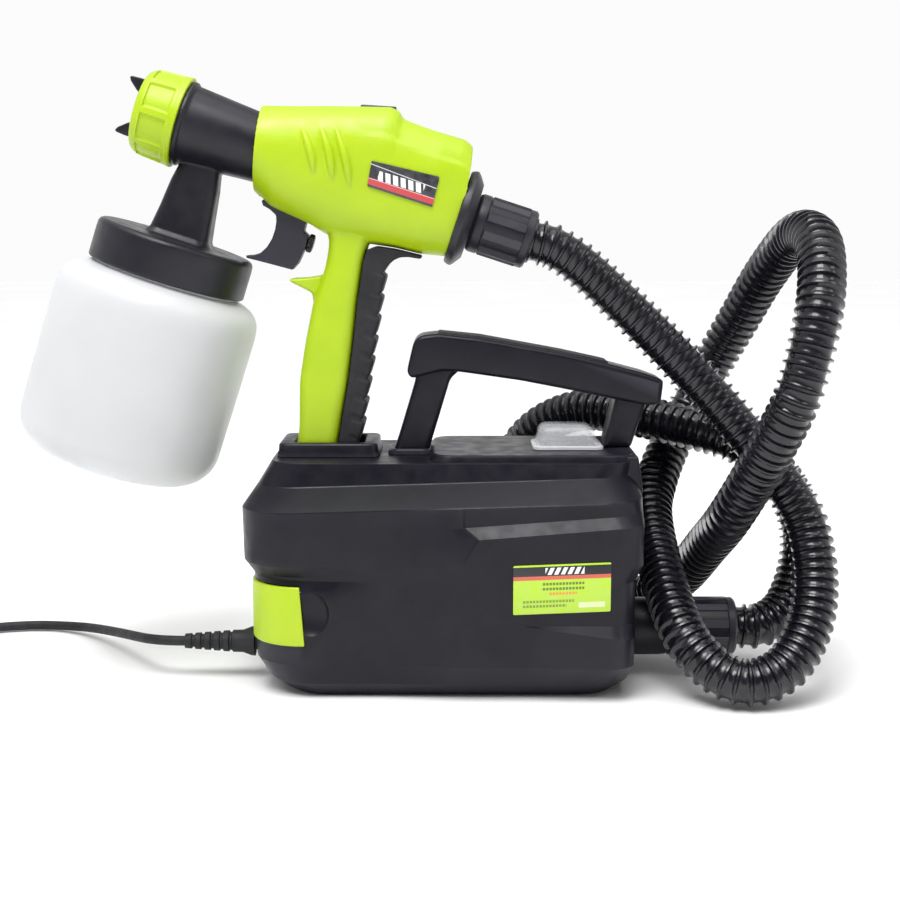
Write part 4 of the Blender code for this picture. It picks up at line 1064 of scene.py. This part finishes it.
def carry_handle():
    """Arch of two leaning posts and a fat rounded bar."""
    bar = mm(
        (-16.5, 165.8), (-19, 169.5), (-15.2, 185.8), (-11.8, 189.3), (-2, 190.5), (21, 188), (43, 184),
        (65, 180), (87, 175), (110, 169), (119.8, 165.5), (120.8, 164), (119.7, 153.2), (118.2, 151.7),
        (111.5, 151.2), (94.5, 154.5), (87.5, 156), (65.4, 160.5), (43.2, 164.8), (10.2, 169.5), (0, 170))
    front_post = (
        (-0.0268, BASE_TOP + GAP), (-0.0238, 0.133), (-0.0145, 0.164), (-0.013, 0.176), (0.01, 0.176),
        (0.0102, 0.17), (0.005, 0.166), (-0.0055, 0.131), (-0.007, BASE_TOP + GAP),
    )
    rear_post = (
        (0.0885, DECK_TOP + GAP), (0.0945, 0.153), (0.096, 0.16), (0.115, 0.16), (0.1115, 0.1515),
        (0.104, DECK_TOP + GAP),
    )
    foot = stacked([
        (BASE_TOP + GAP, -0.0295, -0.005, -0.0135, 0.0135, 0.005),
        (0.1262, -0.029, -0.0055, -0.0132, 0.0132, 0.0048),
        (0.1272, -0.0278, -0.0064, -0.0122, 0.0122, 0.0045),
    ])
    solid = combined(
        cushion(bar, "Y", 0.0, 0.014, 0.0026, reach=0.003),
        joins=[
            cushion(front_post, "Y", 0.0, 0.0112, 0.0035, reach=0.003),
            cushion(rear_post, "Y", 0.0, 0.0112, 0.003, reach=0.0015, corner_steps=2), foot])
    piece("carry_handle_arch", solid, charcoal, "base", ["carry_handle"])
    strip = mm(
        (-3, 189.3), (21, 187), (43, 183), (65, 179), (87, 174), (90.5, 173.2), (90.9, 175), (87, 176),
        (65, 180.8), (43, 184.8), (21, 188.8), (-1.5, 191.1))
    pad = cushion(strip, "Y", 0.0, 0.01, 0.0007, reach=0.0008, corner_steps=2)
    piece("handle_soft_strip", pad, soft, "base", ["handle_grip_pad"])


def gun_dock():
    """Collar and well that the grip stands in."""
    lip = stacked([
        (BASE_TOP + GAP, -0.0895, -0.0335, -0.0232, 0.0232, 0.0055),
        (0.1262, -0.0892, -0.0338, -0.023, 0.023, 0.0055),
        (0.1272, -0.0886, -0.0345, -0.0225, 0.0225, 0.0052),
        (0.1304, -0.0884, -0.0347, -0.0223, 0.0223, 0.005),
        (0.1312, -0.0879, -0.0352, -0.0218, 0.0218, 0.0046),
        (0.1315, -0.0872, -0.0359, -0.0211, 0.0211, 0.004),
    ])
    well = stacked([(z, -0.0858, -0.0372, -0.0189, 0.0189, 0.004) for z in (0.099, 0.128)])
    lean = math.tan(DOCK_LEAN)
    levels = []
    for z, spread in mm((101.2, 0), (129, 0), (130.9, 0.6), (133, 2.6)):
        shift = (z - 0.1012) * lean
        left, right = GRIP_FRONT - 0.0006 + shift - spread, GRIP_BACK + 0.0006 + shift + spread
        levels.append((z, left, right, -0.016 - spread, 0.016 + spread, 0.0016 + spread))
    dock = combined(lip, joins=[well], cuts=[stacked(levels)])
    piece("grip_well", dock, charcoal, "base", ["gun_dock"])


def switch_parts():
    """Clear dust boot over the rocker, held by a clear flange."""
    window = block((0.0537, -0.0165, 0.12), (0.0843, 0.0085, 0.14))
    flange = stacked([
        (DECK_TOP + GAP, 0.0497, 0.0883, -0.0203, 0.0123, 0.0045),
        (DECK_TOP + 0.0016, 0.0498, 0.0882, -0.0202, 0.0122, 0.0044),
        (DECK_TOP + 0.0022, 0.0506, 0.0874, -0.0194, 0.0114, 0.0038),
    ])
    piece("switch_flange", combined(flange, cuts=[window]), frosted_plastic, "base", ["switch_bezel"])

    def dome(z, reach):
        return (z, 0.0517 + reach, 0.0863 - 1.6 * reach, -0.0183 + reach, 0.0103 - reach, 0.004)

    outside = [dome(DECK_TOP + 0.0025, 0.0), dome(0.135, 0.0016)]
    inside = [dome(DECK_TOP + 0.001, 0.0008), dome(0.1347, 0.0024)]
    for k in range(1, 6):
        turn = math.pi / 2 * k / 5
        rise, draw = 0.0048 * math.sin(turn), 0.0036 * (1 - math.cos(turn))
        outside.append(dome(0.1353 + rise, 0.0016 + draw))
        inside.append(dome(0.1345 + rise, 0.0024 + draw))
    boot = combined(stacked(outside), cuts=[stacked(inside)])
    piece("switch_dust_boot", boot, clear_plastic, "base", ["switch_boot"])
    rocker = mm(
        (59, 119.5), (69, 118.2), (79, 119.5), (79.8, 129), (79.8, 133), (74.5, 130.8), (69, 129.6),
        (64, 129.4), (58.2, 130), (58.2, 126.2))
    key = cushion(rocker, "Y", -0.004, 0.0088, 0.0005, 3, reach=0.0006, corner_steps=2)
    piece("rocker_key", key, black, "rocker", ["switch_rocker"])


def cover_space(sides, low, high):
    """Block up to the cover's right edge, which leans outwards to the bottom."""
    far, edge = sides
    middle = (COVER_LOW + COVER_HIGH) / 2
    levels = []
    for z in (low, high):
        near = edge - COVER_LEAN * (z - middle)
        levels.append([Vector((x, y, z)) for x, y in ((far, -0.1), (near, -0.1), (near, 0.1), (far, 0.1))])
    return loft(levels)


def filter_cover():
    """Lime cover round the left end, with rounded rims and louvres on its end face."""
    outer = rounded(-0.1018, 0.1025, -0.0623, 0.0623, 0.0285, 14)
    inner = rounded(-0.1018 + 0.0023, 0.1, -0.06, 0.06, 0.0262, 14)
    middle = (COVER_LOW + COVER_HIGH) / 2
    half = (COVER_HIGH - COVER_LOW) / 2
    shell = combined(
        cushion(outer, "Z", middle, half, 0.0012, 4),
        cuts=[
            cushion(inner, "Z", middle, half + 0.01, 0.0001, 1),
            cover_space((0.2, COVER_RIGHT), COVER_LOW - 0.01, COVER_HIGH + 0.01)]
        + [block((-0.12, -0.026, z - 0.0009), (-0.09, 0.026, z + 0.0009)) for z in LOUVRES])
    piece("filter_cover_shell", shell, lime, "filter_door", ["filter_cover"], rim=0.0006)


def cuff_profile(start, bore, end):
    return (
        (start, bore), (start, 0.015), (start + 0.0012, 0.0158), (start + 0.002, 0.0161),
        (start + 0.006, 0.0161),
        (start + 0.0066, 0.0155), (end - 0.005, 0.0155), (end - 0.0044, 0.016), (end - 0.0012, 0.016),
        (end, 0.015),
        (end, 0.0108), (start + 0.021, 0.0108), (start + 0.021, bore),
    )


def outlet():
    cuff = merged(
        turned(cuff_profile(0.1245, CUFF_BORE, 0.163), "X", (OUTLET_Y, OUTLET_Z)),
        *cuff_ribs(0.1305, 0.1588, (OUTLET_Y, OUTLET_Z), 10))
    piece("outlet_hose_cuff", cuff, black, "outlet_swivel", ["outlet_cuff"])
    profile = (
        (0.0885, SPIGOT_BORE), (0.0885, 0.015), (0.096, 0.015), (0.096, 0.0126), (0.1032, 0.0126),
        (0.1032, 0.0157),
        (0.106, 0.016), (0.1215, 0.016), (0.1242, 0.0157), (0.1242, SPIGOT_R), (0.15, SPIGOT_R),
        (0.15, SPIGOT_BORE),
    )
    socket = turned(profile, "X", (OUTLET_Y, OUTLET_Z))
    piece("outlet_port", socket, charcoal, "base", ["outlet_socket"])


def cuff_ribs(start, end, centre, count):
    """Raised bars along a cuff."""
    ribs = []
    for i in range(count):
        turn = 2 * math.pi * (i + 0.5) / count
        across = Vector((0.0, -math.sin(turn), math.cos(turn)))
        out = Vector((0.0, math.cos(turn), math.sin(turn)))
        loops = []
        for x, width, height in (
                (start, 0.0022, 0.0151), (start + 0.0008, 0.0026, 0.0162),
                (end - 0.0008, 0.0026, 0.0162), (end, 0.0022, 0.0151)):
            base = Vector((x, *centre))
            loops.append([
                base + across * -width + out * 0.0146, base + across * width + out * 0.0146,
                base + across * width * 0.8 + out * height, base + across * -width * 0.8 + out * height])
        ribs.append(loft(loops))
    return ribs


def filter_foam_pad():
    """Open-cell foam slab with softened edges."""
    pad = cushion(rounded(-0.034, 0.034, 0.03, 0.0608, 0.003, 4), "X", -0.0925, 0.0035, 0.001, 3)
    piece("foam_pad", pad, foam_finish, "base", ["filter_foam"])


def screws():
    """Cross-head housing screws sunk in the back face."""
    for number, centre in enumerate(SCREWS, 1):
        head = turned(mm(
            (44, 0), (44, 1.5), (59, 1.5), (59, 2.9), (59.7, 3), (60.5, 2.6), (60.9, 1.6),
            (61, 0)), "Y", centre, 32)
        x, z = centre
        cross = [
            block((x - 0.0016, 0.06, z - 0.0003), (x + 0.0016, 0.063, z + 0.0003)),
            block((x - 0.0003, 0.06, z - 0.0016), (x + 0.0003, 0.063, z + 0.0016)),
        ]
        name = f"cross_head_screw_{number}"
        piece(name, combined(head, cuts=cross), steel, "base", [f"shell_screw_{number}"])


def base_sticker():
    outline = mm((37.4, 48), (88, 50), (88, 76), (37.4, 74))
    sticker = cushion(outline, "Y", -PANEL_DEPTH - 0.0004, 0.0003, 0.00008, 2, reach=0.0008)
    piece("rating_sticker", sticker, rating_print(), "base", ["base_label"])


# ---------------------------------------------------------------- gun

def grip_point(height, front_share):
    """Point of the grip's section at a height in the base's axes, turned into the gun's axes."""
    x = GRIP_FRONT + front_share * (GRIP_BACK - GRIP_FRONT) + (height - GRIP_BOTTOM) * math.tan(DOCK_LEAN)
    local = GUN.inverted() @ Vector((x, 0.0, height))
    return (local.x, local.z)


def body_station(share):
    """Top and bottom points, half width and squareness of the body's section at a share of its length."""
    top_x = 0.036 + share * (0.15 - 0.036)
    low_x = 0.045 + share * (0.1535 - 0.045)
    shares = (0.0, 0.12, 0.3, 0.85, 1.0)
    half = float(np.interp(share, shares, (0.0219, 0.0228, 0.024, 0.024, 0.0226)))
    power = float(np.interp(share, shares, (2.05, 2.25, 2.6, 2.9, 2.9)))
    return top_x, at(BODY_TOP, top_x), low_x, at(BODY_BOTTOM, low_x), half, power


def body_depth(x, z):
    """Half width of the body at a point of its side view."""
    share = max(0.0, min(1.0, (x - 0.04) / 0.111))
    _, top, _, low, half, power = body_station(share)
    reach = min(1.0, abs(z - (top + low) / 2) / ((top - low) / 2))
    return half * (1 - reach ** power) ** (1 / power)


def body_barrel(inwards=0.0, start=0.0, end=1.0):
    """Body of the gun as a loft from round at the front to a soft square at the rear, or its inside."""
    loops = []
    count, around = 40, 72
    for i in range(count + 1):
        share = start + (end - start) * i / count
        top_x, top, low_x, low, half, power = body_station(share)
        middle, height = (top + low) / 2, (top - low) / 2
        loop = []
        for k in range(around):
            turn = 2 * math.pi * k / around
            c, s = math.cos(turn), math.sin(turn)
            y = (half - inwards) * math.copysign(abs(c) ** (2 / power), c)
            z = middle + (height - inwards) * math.copysign(abs(s) ** (2 / power), s)
            x = low_x + (top_x - low_x) * (z - low) / (top - low)
            x += 0.003 * share ** 4 * (1 - ((z - middle) / height) ** 2)
            crease = at(CREASE, x)
            if z > crease and x > CREASE[0][0]:
                y *= 1 - 0.045 * min(1.0, (z - crease) / 0.0015) * min(1.0, (x - CREASE[0][0]) / 0.02)
            loop.append(Vector((x, y, z)))
        loops.append(loop)
    return loft(loops)


def finger_ribs():
    """Three bowed ribs moulded on each side of the body."""
    ribs = []
    for top, bottom in RIB_LINES:
        for side in (-1, 1):
            loops = []
            for i in range(13):
                share = i / 12
                bow = 0.0014 * math.sin(math.pi * share)
                x = top[0] + (bottom[0] - top[0]) * share + bow
                z = top[1] + (bottom[1] - top[1]) * share + bow * 0.4
                width = 0.0029 * math.sin(math.pi * min(0.97, max(0.03, share))) ** 0.45
                height = 0.0036 * math.sin(math.pi * min(0.97, max(0.03, share))) ** 0.6
                y = body_depth(x, z)
                loops.append([
                    Vector((x + width * math.cos(t), side * (y - 0.0006 + height * math.sin(t)), z))
                    for t in (2 * math.pi * k / 16 for k in range(16))
                ])
            ribs.append(loft(loops))
    return ribs


def grip_outline():
    """Lime front part of the grip."""
    return (
        (0.09, -0.018), (0.112, -0.018), (0.1125, -0.04), (0.1159, -0.0613), (0.1204, -0.0829),
        (0.1244, -0.1048), grip_point(0.14, LIME_SHARE), grip_point(GRIP_BOTTOM, LIME_SHARE),
        grip_point(GRIP_BOTTOM, 0.0), grip_point(0.138, 0.0), (0.0992, -0.113), (0.0958, -0.0909),
        (0.0934, -0.069), (0.0941, -0.0515), (0.0937, -0.0456), (0.0922, -0.0355), (0.088, -0.029),
    )


def gun_body():
    finger_stop = mm(
        (99, -74), (93.8, -70.5), (91.2, -65), (85, -64), (77.3, -62.8), (77.6, -61.2), (86, -58), (92, -55),
        (99, -49))
    core = mm(
        (98.5, -26), (108.5, -26), (109, -55), (116, -105), (120, -135), (113, -137), (105, -110), (101, -80),
        (99, -55))
    skin = merged(
        body_barrel(), cushion(grip_outline(), "Y", 0.0, GRIP_HALF, 0.0065, 8, reach=0.004, corner_steps=4),
        cushion(finger_stop, "Y", 0.0, 0.008, 0.0018, reach=0.0012), *finger_ribs())
    body = moulded(skin, 0.0007, 2)
    body = combined(body, cuts=[
        body_barrel(0.0026, 0.04, 0.975),
        turned(mm((25, 0), (25, 19.2), (44, 18.6), (60, 18.6), (60, 0)), "X"),
        rod(0.146, 0.17, 0.0184, "X", (0.0, HOSE_LINE)),
        block((0.0485, -0.0068, -0.04), (0.0815, 0.0068, -0.02)),
        block((0.0857, -0.0058, 0.03), (0.1053, 0.0058, 0.05)),
        loft([[Vector((x, y, z)) for x, z in core] for y in (-0.01, 0.01)]),
        rod(-0.0105, 0.0105, 0.0022, "Y", TRIGGER_PIVOT, 24),
        block((0.03, -0.00015, -0.22), (0.17, 0.00015, 0.06)),
    ])
    piece("gun_body", body, lime, "gun", ["gun_shell_left", "gun_shell_right"], GUN, sharp=40)


def grip_rubber():
    """Soft back of the grip: a core with eight pads that step out like overlapping scales."""
    front = mm(
        (142, -27.4), (126.5, -28.6), (116.5, -30.3), (112.7, -33.5), (112.8, -40), (116.2, -61.3),
        (120.7, -82.9), (124.7, -104.8))
    for height in (0.14, GRIP_BOTTOM):
        x, z = grip_point(height, LIME_SHARE)
        front.append((x + GAP, z))
    top, bottom = Vector((0.1254, -0.043)), Vector((0.1402, -0.134))
    back = [
        grip_point(GRIP_BOTTOM, 1.0), (bottom.x - 0.0008, bottom.y), (top.x - 0.0008, top.y),
        (0.1262, -0.0375),
        (0.128, -0.0345), (0.131, -0.0318), (0.135, -0.0303), (0.142, -0.0292),
    ]
    shapes = [cushion(front + back, "Y", 0.0, GRIP_HALF - 0.0009, 0.0009, 4, reach=0.001)]
    pads = 8
    for i in range(pads):
        high, low = top.lerp(bottom, i / pads), top.lerp(bottom, (i + 0.9) / pads)
        pad = (
            (high.x - 0.0075, high.y), (low.x - 0.0075, low.y), (low.x + 0.0003, low.y),
            (high.x + 0.0018, high.y - 0.0016),
            (high.x + 0.0012, high.y),
        )
        shapes.append(cushion(pad, "Y", 0.0, GRIP_HALF - GAP, 0.0024, reach=0.0008))
    piece("grip_rubber_back", moulded(merged(*shapes), 0.00055, 3), soft, "gun", ["grip_insert"], GUN)


def spray_head():
    """Barrel, neck and cup lid in one moulding."""
    barrel = turned(mm(
        (-16.2, 0), (-16.2, 19.6), (-2.2, 19.6), (-2.2, 22.8), (0.4, 23), (0.6, 21.4), (40, 18.4), (48, 18.2),
        (48, 0)), "X")
    levels = mm(
        (-10.5, 4.2, 23.8, -9, 9, 7), (-19, 3, 24.8, -9.2, 9.2, 5.5), (-30, 0.8, 26.8, -9.8, 9.8, 5),
        (-45, -0.8, 28.6, -11, 11, 5.5), (-57, -2.6, 30.2, -12.6, 12.6, 6.5), (-60.5, -5.2, 32.8, -15, 15, 8),
        (-62.5, -7, 34.5, -16.5, 16.5, 9))
    neck = stacked(levels)
    lid = turned(mm(
        (-63, 0), (-63, 40), (-82, 40.4), (-82, 42.4), (-81.2, 43.2), (-66, 43.2), (-62.4, 43), (-60.8, 42),
        (-60, 40.2), (-60, 0)), "Z", (CUP_AXIS, 0.0))
    head = moulded(merged(barrel, neck, lid), 0.0007, 2)
    head = combined(head, cuts=[
        turned(mm((-22, 0), (-22, 8.4), (-5.6, 8.4), (-5.6, 6), (60, 6), (60, 0)),
            "X", steps=48),
        rod(-0.076, 0.001, 0.003, "Z", (CUP_AXIS, 0.0), 32),
    ])
    piece("spray_head_moulding", head, black, "gun", ["spray_head"], GUN, sharp=40)


def window(value, low, high, edge):
    """Smooth step up at low and down at high."""
    up = max(0.0, min(1.0, (value - low) / edge + 0.5))
    down = max(0.0, min(1.0, (high - value) / edge + 0.5))
    return (up * up * (3 - 2 * up)) * (down * down * (3 - 2 * down))


def dense(profile, step):
    """Closed profile with points no further apart than a step."""
    points = []
    for (a, r), (b, s) in zip(profile, profile[1:] + profile[:1]):
        parts = max(1, math.ceil(math.hypot(b - a, s - r) / step))
        points += [(a + (b - a) * k / parts, r + (s - r) * k / parts) for k in range(parts)]
    return points


def nozzle_parts():
    def panels(turn, along, radius):
        if radius < 0.021:
            return 0.0
        share = (turn * NUT_PANELS / (2 * math.pi)) % 1.0
        return -0.0014 * window(share, 0.11, 0.89, 0.05) * window(along, -0.0212, -0.0072, 0.001)

    nut_profile = mm(
        (-25.5, 17), (-25.8, 19.6), (-25, 20.8), (-23.6, 22), (-21.5, 23), (-18, 23.5), (-5, 24.3),
        (-4.4, 24.6), (-2.8, 24.6), (-2.4, 24), (-2.4, 20), (-22.5, 20), (-22.5, 17))
    nut = turned(dense(nut_profile, 0.0006), "X", steps=NUT_PANELS * 24, flutes=panels)
    piece("air_cap_ring_nut", nut, lime, "cap_ring", ["air_cap_nut"], GUN, sharp=50)

    cap = turned(mm(
        (-27.2, 3.6), (-27.6, 4.6), (-27.6, 8.5), (-26.8, 9.5), (-26.8, 15), (-26.2, 16), (-25, 16.6),
        (-22.2, 16.6), (-22.2, 19.4), (-16.6, 19.4), (-16.6, 9), (-21, 7), (-25.5, 3.6)), "X")
    horns = []
    for side in (-1, 1):
        outline = (
            (-0.0255, side * 0.0064), (-0.0255, side * 0.0158), (-0.03, side * 0.0158),
            (-0.0348, side * 0.0154),
            (-0.0356, side * 0.0146), (-0.0345, side * 0.0126), (-0.03, side * 0.0088))
        horns.append(cushion(outline, "Y", 0.0, 0.0036, 0.0006, 3, reach=0.0004, corner_steps=2))
    ports = [rod(-0.03, -0.024, 0.0006, "X", spot, 12) for spot in mm(
        (6.8, 0), (-6.8, 0), (12.2, 3), (12.2, -3), (-12.2, 3), (-12.2, -3))]
    piece("air_cap_horned", combined(cap, joins=horns, cuts=ports), black, "cap", ["air_cap"], GUN)

    nozzle = turned(mm(
        (-26.5, 1.6), (-26.6, 2.1), (-26.3, 2.5), (-25, 3), (-16.8, 6), (-16.8, 7.8), (-16.5, 8), (-6, 8),
        (-6, 1.6)), "X", steps=48)
    piece("nozzle_tip", nozzle, brass, "gun", ["fluid_nozzle"], GUN)


def paint_cup():
    """Moulded cup with a real wall, a soft shoulder and a slightly hollow underside."""
    outer = mm(
        (-64, 40), (-82.8, 40), (-83.8, 41.8), (-85.2, 46.2), (-86.8, 49.5), (-89.2, 52.2), (-92.5, 54.3),
        (-96.5, 55.3), (-101, 55.6), (-135, 55.7), (-169, 55.5))
    for i in range(1, 11):
        turn = math.pi / 2 * i / 10
        outer.append((-0.1695 - 0.0205 * math.sin(turn), 0.035 + 0.0205 * math.cos(turn)))
    outer += [(-0.19, 0.032), (-0.1888, 0.03), (-0.1884, 0.0)]
    inner = mm(
        (-186.6, 0), (-186.6, 33), (-185.6, 40), (-182.4, 46.6), (-177, 51.2), (-170, 53.3), (-101, 53.4),
        (-95, 52.6), (-90.5, 50), (-88, 46.5), (-85, 37.6), (-64, 37.6))
    cup = turned(outer + inner, "Z", (CUP_AXIS, 0.0), 128)
    piece("paint_cup_moulding", cup, cup_plastic, "cup", ["paint_cup"], GUN, sharp=50)


def trigger_parts():
    outline = mm(
        (59.5, 16.5), (67.5, 16.5), (67.5, -8), (76.5, -24), (77, -34.5), (80, -36), (80.5, -42), (79.2, -52),
        (77.2, -56.5), (64, -57.2), (51.5, -58), (51.1, -56.7), (55, -55.2), (58.2, -53), (60.5, -49),
        (61.8, -44), (62, -39), (61.4, -34.5), (60.2, -31.2), (56, -29.2), (52, -28.4), (50.5, -26.2),
        (56, -20), (59.5, -8))
    px, pz = TRIGGER_PIVOT
    blank = cushion(outline, "Y", 0.0, 0.006, 0.0005, 3)
    lever = combined(moulded(blank, 0.0004, 6), cuts=[
        block((0.05, -0.0024, -0.006), (0.07, 0.0024, 0.02)),
        rod(-0.01, 0.01, 0.0023, "Y", (px, pz), 24),
        rod(0.07, 0.09, 0.0023, "X", (0.0, -0.04), 24),
    ])
    piece("trigger_blade", lever, navy, "trigger_lever", ["trigger"], GUN)

    def knurl(turn, along, radius):
        return 0.0003 * math.cos(20 * turn) if radius > 0.0044 else 0.0

    knob = turned(dense(mm(
        (71.2, 0), (71.2, 1.9), (80.6, 1.9), (80.6, 4.4), (81.1, 4.8), (83, 4.8), (83.6, 4.2), (83.8, 3.4),
        (83.8, 0)), 0.0006), "X", (0.0, -0.04), 120, knurl)
    piece("flow_knob_knurled", knob, black, "flow_adjuster", ["flow_knob"], GUN)


def rear_parts():
    ring = (
        (0.15, SPIGOT_BORE), (0.15, 0.018), (0.1536, 0.018), (0.1536, 0.0244), (0.1542, 0.0254),
        (0.156, 0.0262),
        (0.1576, 0.0263), (0.159, 0.025), (0.1622, 0.0205), (0.1622, SPIGOT_R), (0.183, SPIGOT_R),
        (0.183, SPIGOT_BORE),
    )
    piece("rear_ring", turned(ring, "X", (0.0, HOSE_LINE)), black, "gun", ["rear_collar"], GUN)
    cuff = merged(
        turned(cuff_profile(0.1625, CUFF_BORE, 0.1955), "X", (0.0, HOSE_LINE)),
        *cuff_ribs(0.169, 0.1915, (0.0, HOSE_LINE), 10))
    piece("gun_hose_cuff", cuff, black, "gun_swivel", ["gun_cuff"], GUN)


def trim_parts():
    top = [(0.0862, 0.0388), (0.1048, 0.0436)]
    outline = [(x, z - 0.011) for x, z in top] + top[::-1]
    button = cushion(outline, "Y", 0.0, 0.0054, 0.001, 4, reach=0.001)
    slope = (top[1][1] - top[0][1]) / (top[1][0] - top[0][0])
    grooves = []
    for i in range(4):
        x = 0.0905 + i * 0.0033
        z = top[0][1] + slope * (x - top[0][0])
        grooves.append(block((x - 0.0004, -0.0042, z - 0.0005), (x + 0.0004, 0.0042, z + 0.002)))
    piece("release_key", combined(button, cuts=grooves), black, "latch_button", ["release_button"], GUN)
    badge = mm((101.8, 11.9), (138.3, 15), (139.4, -1.2), (103.5, -1.4))
    plate = cushion(badge, "Y", -BODY_HALF - GAP, 0.00045, 0.00012, 2, reach=0.0008)
    piece("side_badge", plate, badge_print(), "gun", ["gun_badge"], GUN)


finish_cad_nodes()
stage()
air_hose()
mains_cord()
base_halves()
carry_handle()
gun_dock()
switch_parts()
filter_cover()
filter_foam_pad()
outlet()
screws()
base_sticker()
gun_body()
grip_rubber()
spray_head()
nozzle_parts()
paint_cup()
trigger_parts()
rear_parts()
trim_parts()
